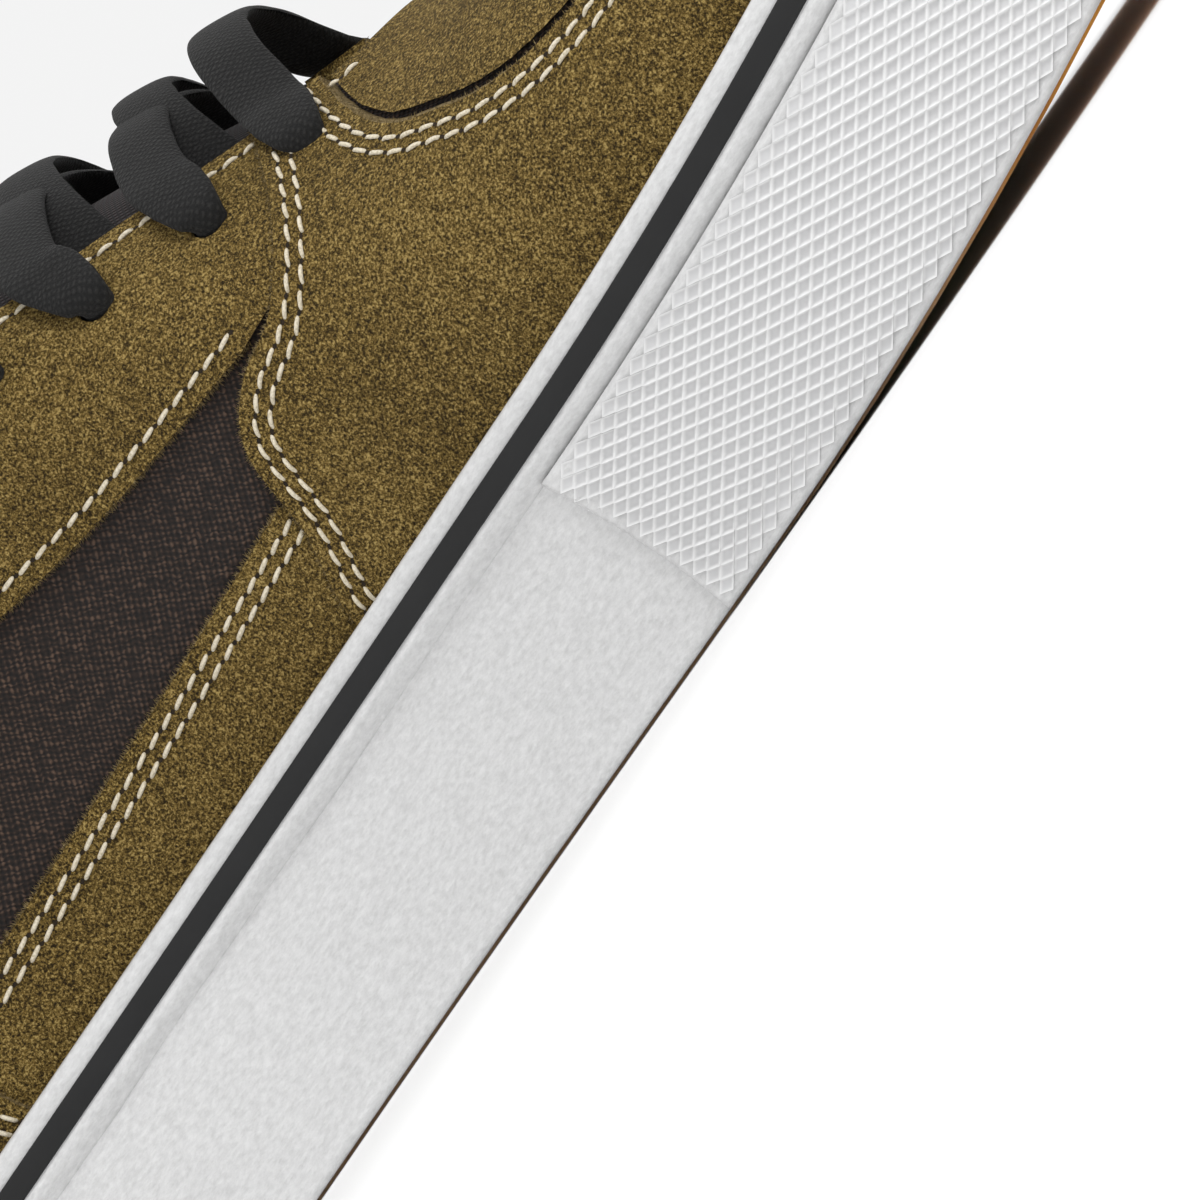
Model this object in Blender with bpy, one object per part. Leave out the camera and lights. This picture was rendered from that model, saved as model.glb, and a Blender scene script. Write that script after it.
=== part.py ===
"""Left shoe of a low-top skateboarding pair, built as a bonded rubber sole and a hollow suede upper.

The toe points along +X, the outer side of the foot is +Y, and the tread stands on Z = 0.
"""

from math import cos, pi, radians, sin

import bpy
import numpy as np
from mathutils import Vector

# Lengths along the foot, measured from the back of the heel
SOLE_LENGTH = 0.291
SPRING_START = 0.172
BUMPER_START = 0.166

# Widths and heights of the foot form, heights measured from the tread
BALL_WIDTH = 0.1025
HEEL_HEIGHT = 0.082
INSTEP_HEIGHT = 0.096
TOE_SPRING = 0.013

# Sole build-up
OUTSOLE_THICKNESS = 0.0055
POCKET_DEPTH = 0.0030
CORE_THICKNESS = 0.0110
INSOLE_THICKNESS = 0.0040
FOXING_HEIGHT = 0.031
FOXING_WALL = 0.0024
FOXING_RIM = 0.0004
FOXING_LEAN = 0.06
TAPE_HEIGHT = 0.0070
TAPE_THICKNESS = 0.0011
STRIPE_HEIGHT = 0.0029
STRIPE_LIP = 0.0020
STRIPE_THICKNESS = 0.0004
BUMPER_THICKNESS = 0.0010

# Tread lattice: long diagonals of the pockets lie across the shoe
DIAMOND_LENGTH = 0.0098
DIAMOND_WIDTH = 0.0196
LATTICE_TURN = 6.0
RIDGE_WIDTH = 0.0015
POCKET_TAPER = 0.72
POCKET_OVERCUT = 0.0004
BAR_WIDTH = 0.0022
BAR_INSET = 0.0020
BAR_START = 0.158
TREAD_BORDER = 0.0032

# Upper
WALL = 0.0020
OVERLAY = 0.0014
COLLAR_PAD = 0.0070
PAD_EDGE = 0.0012
PAD_CLEARANCE = 0.0009
TONGUE_THICKNESS = 0.0045
TONGUE_MARGIN = 0.0085
TONGUE_CLEARANCE = 0.0012
TONGUE_RISE = 0.027
TONGUE_TUCK = 0.012
THROAT_CROWN = 0.0085

# Lacing
EYELET_PAIRS = 5
EYELET_HOLE = 0.0045
EYELET_SIDES = 6
EYELET_SETBACK = 0.0085
LACE_WIDTH = 0.0062
LACE_THICKNESS = 0.0012
LACE_PINCH = 0.0022
LACE_REST = 0.0026
LACE_CROWN = 0.0095

# Clearance between bonded or stitched pieces
GAP = 0.0003

# Samples round each side of the foot, and rows from the foxing to the top line
HALF_COUNT = 28
WALL_ROWS = 4

# Sole outline. Columns: station as a share of SOLE_LENGTH, then how far the inner side and the
# outer side lie from the axis, as shares of BALL_WIDTH.
OUTLINE = (
    (0.000, 0.000, 0.000),
    (0.012, 0.135, 0.135),
    (0.050, 0.265, 0.265),
    (0.120, 0.358, 0.362),
    (0.210, 0.368, 0.380),
    (0.350, 0.318, 0.366),
    (0.460, 0.348, 0.398),
    (0.560, 0.422, 0.448),
    (0.660, 0.497, 0.492),
    (0.735, 0.516, 0.486),
    (0.810, 0.502, 0.450),
    (0.885, 0.448, 0.372),
    (0.945, 0.358, 0.262),
    (0.985, 0.222, 0.122),
    (1.000, 0.052, -0.052),
)

# Collar from the heel to the top of the eyestay. Columns: place round the foot (0 heel, 1 toe),
# station share of SOLE_LENGTH, inner and outer side as shares of BALL_WIDTH, height as a share
# of HEEL_HEIGHT, slope of the wall there in degrees, reach of the lower and the upper curve.
COLLAR = (
    (0.000, 0.048, 0.000, 0.000, 1.000, 68.0, 0.46, 0.34),
    (0.085, 0.064, 0.168, 0.168, 0.985, 70.0, 0.46, 0.34),
    (0.170, 0.125, 0.278, 0.282, 0.905, 74.0, 0.44, 0.32),
    (0.265, 0.235, 0.312, 0.322, 0.812, 76.0, 0.40, 0.30),
    (0.350, 0.330, 0.296, 0.314, 0.880, 73.0, 0.40, 0.30),
)

# Throat from the top of the eyestay to its front. The same columns, with heights as shares of
# INSTEP_HEIGHT.
THROAT = (
    (0.415, 0.395, 0.268, 0.272, 0.965, 62.0, 0.42, 0.34),
    (0.470, 0.450, 0.232, 0.230, 0.905, 50.0, 0.44, 0.38),
    (0.530, 0.525, 0.196, 0.186, 0.806, 42.0, 0.46, 0.40),
    (0.600, 0.610, 0.158, 0.138, 0.704, 34.0, 0.50, 0.44),
    (0.680, 0.655, 0.118, 0.084, 0.664, 27.0, 0.52, 0.46),
    (0.790, 0.668, 0.082, 0.028, 0.652, 19.0, 0.54, 0.46),
    (0.900, 0.671, 0.052, -0.008, 0.649, 14.0, 0.50, 0.46),
    (1.000, 0.672, 0.022, -0.022, 0.648, 12.0, 0.48, 0.46),
)

# Seams seen from the side. Columns: station share of SOLE_LENGTH, height as a share of
# INSTEP_HEIGHT.
VAMP_EDGE = (
    (0.474, 0.180),
    (0.482, 0.330),
    (0.500, 0.430),
    (0.513, 0.530),
    (0.534, 0.575),
    (0.566, 0.600),
    (0.596, 0.690),
    (0.612, 0.900),
)
GUARD_EDGE = (
    (0.628, 0.900),
    (0.632, 0.650),
    (0.660, 0.560),
    (0.700, 0.512),
    (0.760, 0.498),
    (0.850, 0.520),
    (0.930, 0.560),
    (1.060, 0.600),
)
EYESTAY_EDGE = (
    (0.545, 0.588),
    (0.500, 0.602),
    (0.455, 0.620),
    (0.400, 0.655),
    (0.350, 0.705),
    (0.310, 0.800),
)
BAND_EDGE = (
    (0.5015, 0.468),
    (0.400, 0.460),
    (0.300, 0.455),
    (0.244, 0.455),
)
COUNTER_EDGE = (
    (0.262, 0.180),
    (0.250, 0.400),
    (0.215, 0.560),
    (0.160, 0.680),
    (0.130, 0.900),
)

# Places round the foot of the lowest and the highest eyelet, and how far down to the eyelet
# below each crossing lace reaches
LACED_THROAT = (0.598, 0.440)
CROSSING_REACH = 0.40
THROAT_FALL = -0.50

# Tongue under the throat. Columns: place round the foot, share of THROAT_CROWN.
TONGUE_SWELL = (
    (0.660, 0.10),
    (0.620, 0.45),
    (0.570, 0.85),
    (0.520, 1.00),
    (0.470, 1.00),
    (0.425, 1.00),
)
TUCK_SLOPE = 0.34

# Free end of the tongue. Columns: share of TONGUE_RISE, share of the last width.
TONGUE_TOP = (
    (0.35, 0.96),
    (0.70, 0.97),
    (0.92, 0.94),
    (1.00, 0.82),
)


# Curves

def periodic(knots, values, period, places):
    """Values at the given places on one smooth closed curve through the rows."""
    knots = np.array(knots, dtype=float)
    values = np.array(values, dtype=float)
    count = len(knots)
    steps = np.append(knots[1:], knots[0] + period) - knots
    matrix = np.zeros((count, count))
    slopes = np.zeros_like(values)
    for row in range(count):
        after = (row + 1) % count
        matrix[row, row - 1] += steps[row - 1] / 6
        matrix[row, row] += (steps[row - 1] + steps[row]) / 3
        matrix[row, after] += steps[row] / 6
        ahead = (values[after] - values[row]) / steps[row]
        slopes[row] = ahead - (values[row] - values[row - 1]) / steps[row - 1]
    bends = np.linalg.solve(matrix, slopes)
    result = []
    for place in places:
        place = (place - knots[0]) % period + knots[0]
        row = int(np.searchsorted(knots, place, side="right")) - 1
        after = (row + 1) % count
        share = (place - knots[row]) / steps[row]
        rest = 1 - share
        bend = (rest ** 3 - rest) * bends[row] + (share ** 3 - share) * bends[after]
        result.append(rest * values[row] + share * values[after] + bend * steps[row] ** 2 / 6)
    return np.array(result)


def along_foot(station):
    """X of a station given as a share of the sole's length from the heel."""
    return (station - 0.5) * SOLE_LENGTH


def lift(x):
    """Height of the tread above the floor, flat and then rising to the toe."""
    ahead = max(0.0, x + SOLE_LENGTH / 2 - SPRING_START)
    return TOE_SPRING * (ahead / (SOLE_LENGTH - SPRING_START)) ** 2


def outline_loop():
    """Points of the sole outline and the directions into it, from the heel up the inner side."""
    inner = [(along_foot(station), -side * BALL_WIDTH) for station, side, _ in OUTLINE]
    outer = [(along_foot(station), side * BALL_WIDTH) for station, _, side in OUTLINE]
    corners = np.array(inner + outer[-2:0:-1])
    chords = np.linalg.norm(np.roll(corners, -1, 0) - corners, axis=1)
    knots = np.append(0.0, np.cumsum(chords)[:-1])
    dense = periodic(knots, corners, chords.sum(), np.linspace(0, chords.sum(), 2400, endpoint=False))
    dense[:, 1] -= (dense[:, 1].max() + dense[:, 1].min()) / 2
    toe = int(dense[:, 0].argmax())
    halves = (dense[: toe + 1], np.vstack((dense[toe:], dense[:1])))
    points = []
    for half in halves:
        run = np.append(0.0, np.cumsum(np.linalg.norm(np.diff(half, axis=0), axis=1)))
        for place in np.linspace(0, run[-1], HALF_COUNT, endpoint=False):
            points.append((np.interp(place, run, half[:, 0]), np.interp(place, run, half[:, 1])))
    points = np.array(points)
    tangent = np.roll(points, -1, 0) - np.roll(points, 1, 0)
    tangent /= np.linalg.norm(tangent, axis=1)[:, None]
    inward = np.column_stack((-tangent[:, 1], tangent[:, 0]))
    return points, inward


RING, INWARD = outline_loop()
COUNT = 2 * HALF_COUNT


def side_point(index, inset, height):
    """A point of the side wall at a place round the foot, counted in samples."""
    low = int(index) % COUNT
    share = index - int(index)
    ring = RING[low] * (1 - share) + RING[(low + 1) % COUNT] * share
    inward = INWARD[low] * (1 - share) + INWARD[(low + 1) % COUNT] * share
    x, y = ring + inward * (inset + FOXING_LEAN * height)
    return Vector((x, y, lift(x) + height))


def index_at(station_length):
    """Place on the inner side, in samples, where the outline passes a length from the heel."""
    half = RING[: HALF_COUNT + 1, 0]
    return float(np.interp(station_length - SOLE_LENGTH / 2, half, np.arange(HALF_COUNT + 1)))


# Meshes

def material(name, color, roughness, metallic=0.0):
    """A plain Principled material."""
    made = bpy.data.materials.new(name)
    made.use_nodes = True
    shader = made.node_tree.nodes["Principled BSDF"]
    shader.inputs["Base Color"].default_value = (*color, 1.0)
    shader.inputs["Roughness"].default_value = roughness
    shader.inputs["Metallic"].default_value = metallic
    made.diffuse_color = (*color, 1.0)
    return made


def add_object(name, points, faces, surface, smooth_angle=40.0):
    """One closed solid as an object of its own."""
    mesh = bpy.data.meshes.new(name)
    mesh.from_pydata([tuple(point) for point in points], [], faces)
    mesh.validate()
    if surface:
        mesh.materials.append(surface)
    made = bpy.data.objects.new(name, mesh)
    bpy.context.scene.collection.objects.link(made)
    if smooth_angle:
        mesh.shade_smooth()
        mesh.set_sharp_from_angle(angle=radians(smooth_angle))
    return made


def grid_solid(name, low, high, closed, surface):
    """Solid between two grids of points that lie one over the other."""
    runs, rows = high.shape[:2]
    points = list(low.reshape(-1, 3)) + list(high.reshape(-1, 3))
    top = runs * rows
    steps = runs if closed else runs - 1
    faces = []
    for run in range(steps):
        here = run * rows
        ahead = (run + 1) % runs * rows
        for row in range(rows - 1):
            near = (here + row, here + row + 1, ahead + row + 1)
            far = (here + row, ahead + row + 1, ahead + row)
            for corner in (near, far):
                faces.append(corner)
                faces.append(tuple(top + place for place in reversed(corner)))
        faces.append((here, ahead, top + ahead, top + here))
        last = rows - 1
        faces.append((here + last, top + here + last, top + ahead + last, ahead + last))
    if not closed:
        for start, turn in ((0, 1), ((runs - 1) * rows, -1)):
            for row in range(rows - 1):
                end = (start + row, top + start + row, top + start + row + 1, start + row + 1)
                faces.append(end[::turn])
    return add_object(name, points, faces, surface)


def cut(target, cutter, operation="DIFFERENCE"):
    """Boolean of a piece with a hidden cutting form."""
    modifier = target.modifiers.new(operation.title(), "BOOLEAN")
    modifier.operation = operation
    modifier.solver = "EXACT"
    modifier.object = cutter
    cutter.hide_render = True
    cutter.display_type = "WIRE"


# Sole

def band(name, section, surface, start=0.0, end=float(COUNT)):
    """Strip round the foot. The section is a closed list of (inset, height) corners."""
    closed = end - start >= COUNT
    places = [start] + [float(step) for step in range(int(start) + 1, int(end - 1e-6) + 1)]
    if not closed:
        places.append(end)
    size = len(section)
    points = [side_point(place, *corner) for place in places for corner in section]
    faces = []
    for run in range(len(places) if closed else len(places) - 1):
        here = run * size
        ahead = (run + 1) % len(places) * size
        for corner in range(size):
            after = (corner + 1) % size
            faces.append((here + corner, here + after, ahead + after, ahead + corner))
    if not closed:
        last = (len(places) - 1) * size
        faces.append(tuple(reversed(range(size))))
        faces.append(tuple(last + corner for corner in range(size)))
    return add_object(name, points, faces, surface)


def plate(name, inset, bottom, top, surface):
    """Flat layer inside the outline that follows the toe spring."""
    points = []
    for height in (bottom, top):
        points += [side_point(index, inset, height) for index in range(COUNT)]
    faces = []
    for index in range(COUNT):
        after = (index + 1) % COUNT
        faces.append((index, after, COUNT + after, COUNT + index))
    level = sum(1 for index in range(HALF_COUNT) if points[index].z < bottom + GAP / 100) - 1
    strips = [[*range(level + 1), *range(COUNT - level, COUNT)]]
    for index in range(level, HALF_COUNT - 1):
        strips.append([index, index + 1, COUNT - index - 1, COUNT - index])
    strips.append([HALF_COUNT - 1, HALF_COUNT, HALF_COUNT + 1])
    for strip in strips:
        faces.append(tuple(reversed(strip)))
        faces.append(tuple(COUNT + place for place in strip))
    return add_object(name, points, faces, surface)


def lattice_point(column, row):
    """Corner of the tread lattice, turned to lie along the outer edge."""
    turn = radians(LATTICE_TURN)
    along = column * DIAMOND_LENGTH / 2
    across = row * DIAMOND_WIDTH / 2
    return Vector((along * cos(turn) - across * sin(turn), along * sin(turn) + across * cos(turn)))


def diamond(half_length, half_width):
    """Corners of one tread pocket round its own centre."""
    return [(half_length, 0.0), (0.0, half_width), (-half_length, 0.0), (0.0, -half_width)]


def barred_diamond(half_length, half_width):
    """Pocket whose sharp ends are cut off by a lengthwise bar, leaving six corners."""
    stop = half_width - BAR_INSET - BAR_WIDTH
    wide = half_length * (1 - stop / half_width)
    upper = [(wide, stop), (-wide, stop)]
    lower = [(-wide, -stop), (wide, -stop)]
    return [(half_length, 0.0), *upper, (-half_length, 0.0), *lower]


def pocket(points, faces, centre, corners):
    """One tapered pocket, sunk into the tread from below."""
    turn = radians(LATTICE_TURN)
    first = len(points)
    mouth = 1 + (1 - POCKET_TAPER) * POCKET_OVERCUT / POCKET_DEPTH
    for height, scale in ((-POCKET_OVERCUT, mouth), (POCKET_DEPTH, POCKET_TAPER)):
        for along, across in corners:
            x = centre.x + (along * cos(turn) - across * sin(turn)) * scale
            y = centre.y + (along * sin(turn) + across * cos(turn)) * scale
            points.append((x, y, lift(x) + height))
    size = len(corners)
    faces.append(tuple(first + corner for corner in reversed(range(size))))
    faces.append(tuple(first + size + corner for corner in range(size)))
    for corner in range(size):
        after = (corner + 1) % size
        faces.append((first + corner, first + after, first + size + after, first + size + corner))


def inside_border(centre):
    """Whether a pocket's centre lies within the tread's plain border."""
    inset = FOXING_WALL + GAP + TREAD_BORDER + RIDGE_WIDTH
    border = [side_point(index, inset, 0.0) for index in range(COUNT)]
    crossings = 0
    for index in range(COUNT):
        a = border[index]
        b = border[(index + 1) % COUNT]
        if (a.y > centre.y) != (b.y > centre.y):
            if centre.x < a.x + (centre.y - a.y) / (b.y - a.y) * (b.x - a.x):
                crossings += 1
    return crossings % 2 == 1


def make_outsole():
    """Gum rubber outsole with a lattice of tapered pockets inside a plain border."""
    gum = material("gum rubber", (0.58, 0.36, 0.19), 0.55)
    inset = FOXING_WALL + GAP
    outsole = plate("outsole", inset, 0.0, OUTSOLE_THICKNESS, gum)
    half_width = DIAMOND_WIDTH / 2
    half_length = DIAMOND_LENGTH / 2
    slope = (half_width ** 2 + half_length ** 2) ** 0.5
    shrink = 1 - RIDGE_WIDTH / 2 * slope / (half_width * half_length)
    points = []
    faces = []
    reach = int(SOLE_LENGTH / DIAMOND_LENGTH) + 2
    for column in range(-reach, reach + 1):
        for row in range(-7, 8):
            if (column + row) % 2:
                continue
            centre = lattice_point(column, row)
            if not inside_border(centre):
                continue
            barred = centre.x + SOLE_LENGTH / 2 > BAR_START
            shape = barred_diamond if barred else diamond
            pocket(points, faces, centre, shape(half_length * shrink, half_width * shrink))
    pockets = add_object("pocket_cutter", points, faces, None, 0)
    border = plate("border_cutter", inset + TREAD_BORDER, -2 * POCKET_DEPTH, 2 * POCKET_DEPTH, None)
    cut(pockets, border, "INTERSECT")
    cut(outsole, pockets)
    return outsole


def make_core():
    """Sponge rubber midsole core that fills the foxing under the foot."""
    foam = material("sponge core", (0.62, 0.60, 0.56), 0.8)
    bottom = OUTSOLE_THICKNESS + GAP
    return plate("midsole", FOXING_WALL + GAP, bottom, bottom + CORE_THICKNESS, foam)


def feather_height():
    """Height above the tread where the lasted edge of the upper sits on the core."""
    return OUTSOLE_THICKNESS + GAP + CORE_THICKNESS + GAP


def upper_inset():
    """How far the upper's own wall lies inside the sole outline."""
    return FOXING_WALL + GAP + OVERLAY + GAP


def make_insole():
    """Removable footbed resting on the core."""
    cloth = material("footbed cloth", (0.16, 0.13, 0.10), 0.9)
    bottom = feather_height()
    inset = upper_inset() + WALL + GAP
    return plate("insole", inset, bottom, bottom + INSOLE_THICKNESS, cloth)


def make_foxing():
    """White rubber wall bonded round the sole."""
    rubber = material("white foxing rubber", (0.80, 0.80, 0.79), 0.5)
    section = [(0.0, FOXING_RIM), (FOXING_WALL, FOXING_RIM)]
    section += [(FOXING_WALL, FOXING_HEIGHT), (0.0, FOXING_HEIGHT)]
    return band("foxing", section, rubber)


def make_tape():
    """Raised tape bonded along the foxing's top edge."""
    rubber = material("white tape rubber", (0.82, 0.82, 0.81), 0.45)
    low = FOXING_HEIGHT - TAPE_HEIGHT
    face = -GAP - TAPE_THICKNESS
    section = [(-GAP, low), (-GAP, FOXING_HEIGHT), (face, FOXING_HEIGHT), (face, low)]
    return band("top_tape", section, rubber)


def make_stripe():
    """Thin black line laid along the middle of the tape."""
    rubber = material("black stripe rubber", (0.025, 0.025, 0.027), 0.4)
    high = FOXING_HEIGHT - STRIPE_LIP
    low = high - STRIPE_HEIGHT
    back = -GAP - TAPE_THICKNESS - GAP
    face = back - STRIPE_THICKNESS
    section = [(back, low), (back, high), (face, high), (face, low)]
    return band("tape_stripe", section, rubber)


def make_bumper():
    """Raised toe strip that wraps from side to side under the tape."""
    rubber = material("white bumper rubber", (0.80, 0.80, 0.79), 0.55)
    top = FOXING_HEIGHT - TAPE_HEIGHT - GAP
    section = [(-GAP, FOXING_RIM), (-GAP, top), (-GAP - BUMPER_THICKNESS, top)]
    section += [(-GAP - BUMPER_THICKNESS, FOXING_RIM)]
    start = index_at(BUMPER_START)
    return band("toe_bumper", section, rubber, start, COUNT - start)


# Upper

def topline():
    """Top edge of the upper, its wall slope and the reach of its curves, round the foot."""
    knots = []
    values = []
    for table, height in ((COLLAR, HEEL_HEIGHT), (THROAT, INSTEP_HEIGHT)):
        for place, station, inner, outer, high, slope, low_reach, high_reach in table:
            rest = (along_foot(station), high * height, slope, low_reach, high_reach)
            knots.append(place)
            values.append((rest[0], -inner * BALL_WIDTH, *rest[1:]))
            if 0 < place < 1:
                knots.append(2 - place)
                values.append((rest[0], outer * BALL_WIDTH, *rest[1:]))
    order = np.argsort(knots)
    places = np.arange(COUNT) / HALF_COUNT
    return periodic(np.array(knots)[order], np.array(values)[order], 2.0, places)


def foot_grid():
    """Outside of the upper's wall: feather edge, foxing top, then rows up to the top line."""
    rows = []
    top_rows = topline()
    inset = upper_inset()
    for index in range(COUNT):
        x, y, z, slope, low_reach, high_reach = top_rows[index]
        top = Vector((x, y, z))
        edge = side_point(index, inset, feather_height())
        base = side_point(index, inset, FOXING_HEIGHT)
        climb = (base - edge).normalized()
        span = top - base
        across = Vector((span.x, span.y, 0)).normalized()
        arrive = across * cos(radians(slope)) + Vector((0, 0, sin(radians(slope))))
        low = base + climb * span.length * low_reach * (span.z / span.length) ** 0.5
        high = top - arrive * span.length * high_reach
        line = [edge, base]
        for step in range(1, WALL_ROWS + 1):
            share = step / WALL_ROWS
            rest = 1 - share
            point = base * rest ** 3 + low * 3 * rest ** 2 * share
            point += high * 3 * rest * share ** 2 + top * share ** 3
            line.append(point)
        rows.append(line)
    return np.array([[tuple(point) for point in line] for line in rows])


def grid_normals(grid):
    """Outward directions at each point of the upper's grid."""
    round_foot = np.roll(grid, -1, 0) - np.roll(grid, 1, 0)
    upward = np.gradient(grid, axis=1)
    normals = np.cross(round_foot, upward)
    return normals / np.linalg.norm(normals, axis=2)[:, :, None]


FOOT = foot_grid()
OUTWARD = grid_normals(FOOT)


def make_upper():
    """Hollow woven wall of the upper, open at the collar, the throat and underneath."""
    textile = material("woven quarter", (0.055, 0.035, 0.040), 0.9)
    return grid_solid("upper", FOOT - OUTWARD * WALL, FOOT, True, textile)


def overlay_form(name, surface):
    """A whole suede skin over the upper, before it is cut to its seams."""
    return grid_solid(name, FOOT + OUTWARD * GAP, FOOT + OUTWARD * (GAP + OVERLAY), True, surface)


def side_cutter(name, corners, sides):
    """Block across the shoe with the side view that the corners give, for one side or both."""
    reach = BALL_WIDTH
    low, high = {"both": (-reach, reach), "inner": (-reach, 0.0), "outer": (0.0, reach)}[sides]
    points = [(x, low, z) for x, z in corners] + [(x, high, z) for x, z in corners]
    size = len(corners)
    faces = [tuple(range(size)), tuple(size + corner for corner in reversed(range(size)))]
    for corner in range(size):
        after = (corner + 1) % size
        faces.append((corner, size + corner, size + after, after))
    made = add_object(name, points, faces, None, 0)
    if signed_area(corners) < 0:
        made.data.flip_normals()
    return made


def signed_area(corners):
    """Twice the area of a side view, negative where its corners turn the other way."""
    total = 0.0
    for index, (x, z) in enumerate(corners):
        after_x, after_z = corners[(index + 1) % len(corners)]
        total += x * after_z - after_x * z
    return total


def seam(table, shift=(0.0, 0.0)):
    """Points of a seam in metres, moved by the clearance that it keeps."""
    moved_x, moved_z = shift
    return [(along_foot(x) + moved_x, z * INSTEP_HEIGHT + moved_z) for x, z in table]


def make_mudguard(suede):
    """Suede overlay that wraps the toe and the ball, low over the foxing."""
    guard = overlay_form("mudguard", suede)
    edge = seam(VAMP_EDGE) + seam(GUARD_EDGE)
    corners = edge + [(SOLE_LENGTH, edge[-1][1]), (SOLE_LENGTH, 0.0), (edge[0][0], 0.0)]
    cut(guard, side_cutter("mudguard_cutter", corners, "both"), "INTERSECT")
    return guard


def make_vamp(suede):
    """Suede over the top of the toes, up to the throat."""
    vamp = overlay_form("vamp", suede)
    edge = seam(GUARD_EDGE, (2 * GAP, 2 * GAP))
    high = 2 * INSTEP_HEIGHT
    corners = edge + [(edge[-1][0], high), (edge[0][0], high)]
    cut(vamp, side_cutter("vamp_cutter", corners, "both"), "INTERSECT")
    return vamp


def make_eyestay(side, suede):
    """Suede lace stay of one side."""
    stay = overlay_form("eyestay_" + side, suede)
    front = seam(VAMP_EDGE[5:], (-2 * GAP, 2 * GAP))
    lower = seam(EYESTAY_EDGE, (0.0, 2 * GAP))
    high = 2 * INSTEP_HEIGHT
    corners = front + [(front[-1][0], high), (lower[-1][0], high)] + lower[:0:-1]
    cut(stay, side_cutter("eyestay_cutter_" + side, corners, side), "INTERSECT")
    cut(stay, EYELET_CUTTER)
    return stay


def make_side_band(side, suede):
    """Low suede band along the foxing between the mudguard and the heel counter."""
    strip = overlay_form("side_band_" + side, suede)
    front = seam(VAMP_EDGE[:3], (-2 * GAP, 0.0))
    rear = seam(COUNTER_EDGE[:2], (2 * GAP, 0.0))
    corners = front + seam(BAND_EDGE) + rear[::-1]
    cut(strip, side_cutter("band_cutter_" + side, corners, side), "INTERSECT")
    return strip


def make_counter(suede):
    """Suede heel counter overlay."""
    counter = overlay_form("heel_counter", suede)
    edge = seam(COUNTER_EDGE)
    high = 2 * INSTEP_HEIGHT
    corners = edge + [(edge[-1][0], high), (-SOLE_LENGTH, high), (-SOLE_LENGTH, 0.0)]
    corners.append((edge[0][0], 0.0))
    cut(counter, side_cutter("counter_cutter", corners, "both"), "INTERSECT")
    return counter


def make_collar_pad():
    """Padded lining inside the collar, thickest a little below its edge."""
    lining = material("collar lining", (0.05, 0.045, 0.045), 0.85)
    reach = int(0.39 * HALF_COUNT)
    first_row = WALL_ROWS // 2
    low = []
    high = []
    for index in range(-reach, reach + 1):
        taper = cos(pi / 2 * index / (reach + 2)) ** 0.5
        back = FOOT[index, first_row:] - OUTWARD[index, first_row:] * (WALL + PAD_CLEARANCE)
        rise = np.linspace(0, 1, len(back))
        swell = PAD_EDGE + (COLLAR_PAD - PAD_EDGE) * np.sin(pi * (0.12 + 0.80 * rise)) * taper
        high.append(back)
        low.append(back - OUTWARD[index, first_row:] * swell[:, None])
    return grid_solid("collar_padding", np.array(low), np.array(high), False, lining)


# Tongue and laces

def wall_spot(place, depth):
    """Point of the upper's outside a set distance down from the top line, and its direction."""
    index = place * HALF_COUNT % COUNT
    low = int(index)
    share = index - low
    column = FOOT[low] * (1 - share) + FOOT[(low + 1) % COUNT] * share
    facing = OUTWARD[low] * (1 - share) + OUTWARD[(low + 1) % COUNT] * share
    run = 0.0
    for row in range(len(column) - 1, 1, -1):
        step = float(np.linalg.norm(column[row] - column[row - 1]))
        if run + step >= depth:
            part = (depth - run) / step
            spot = column[row] * (1 - part) + column[row - 1] * part
            out = facing[row] * (1 - part) + facing[row - 1] * part
            return Vector(spot), Vector(out).normalized()
        run += step
    return Vector(column[1]), Vector(facing[1]).normalized()


def arch(inner_place, outer_place, climb, crown, steps):
    """Points over the throat from the inner side to the outer, along the wall and then arched.

    The climb is a list of depths below the top line, each with its distance off the wall.
    """
    sides = []
    for place in (inner_place, 2 - outer_place):
        side = []
        for depth, offset in climb:
            spot, facing = wall_spot(place, depth)
            side.append(spot + facing * offset)
        sides.append(side)
    inner, outer = sides
    span = outer[-1] - inner[-1]
    up = span.cross(Vector((1, 0, 0)))
    up = Vector((0, 0, 1)) if up.length < GAP / 1000 else up.normalized()
    up = up if up.z > 0 else -up
    middle = []
    for step in range(1, steps):
        share = step / steps
        middle.append(inner[-1] + span * share + up * crown * (1 - (2 * share - 1) ** 2))
    return inner + middle + outer[::-1]


def tongue_sections():
    """Top side of the tongue, section by section from under the vamp to its free end."""
    offset = -WALL - TONGUE_CLEARANCE
    depths = (TONGUE_MARGIN, TONGUE_MARGIN * 0.55, TONGUE_CLEARANCE)
    climb = [(depth, offset) for depth in depths]
    sections = []
    for place, swell in TONGUE_SWELL:
        sections.append(arch(place, place, climb, THROAT_CROWN * swell, 6))
    front = sections[0]
    slide = Vector((TONGUE_TUCK, 0, -TONGUE_TUCK * TUCK_SLOPE))
    level = sum((point.z for point in front), 0.0) / len(front)
    tucked = [point + slide + Vector((0, 0, (level - point.z) * 0.35)) for point in front]
    end = sections[-1]
    centre = sum(end, Vector()) / len(end)
    earlier = sections[-3]
    heading = (centre - sum(earlier, Vector()) / len(earlier)).normalized()
    free = []
    for rise, width in TONGUE_TOP:
        moved = centre + heading * TONGUE_RISE * rise
        free.append([moved + (point - centre) * width for point in end])
    return [tucked] + sections + free


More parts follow.
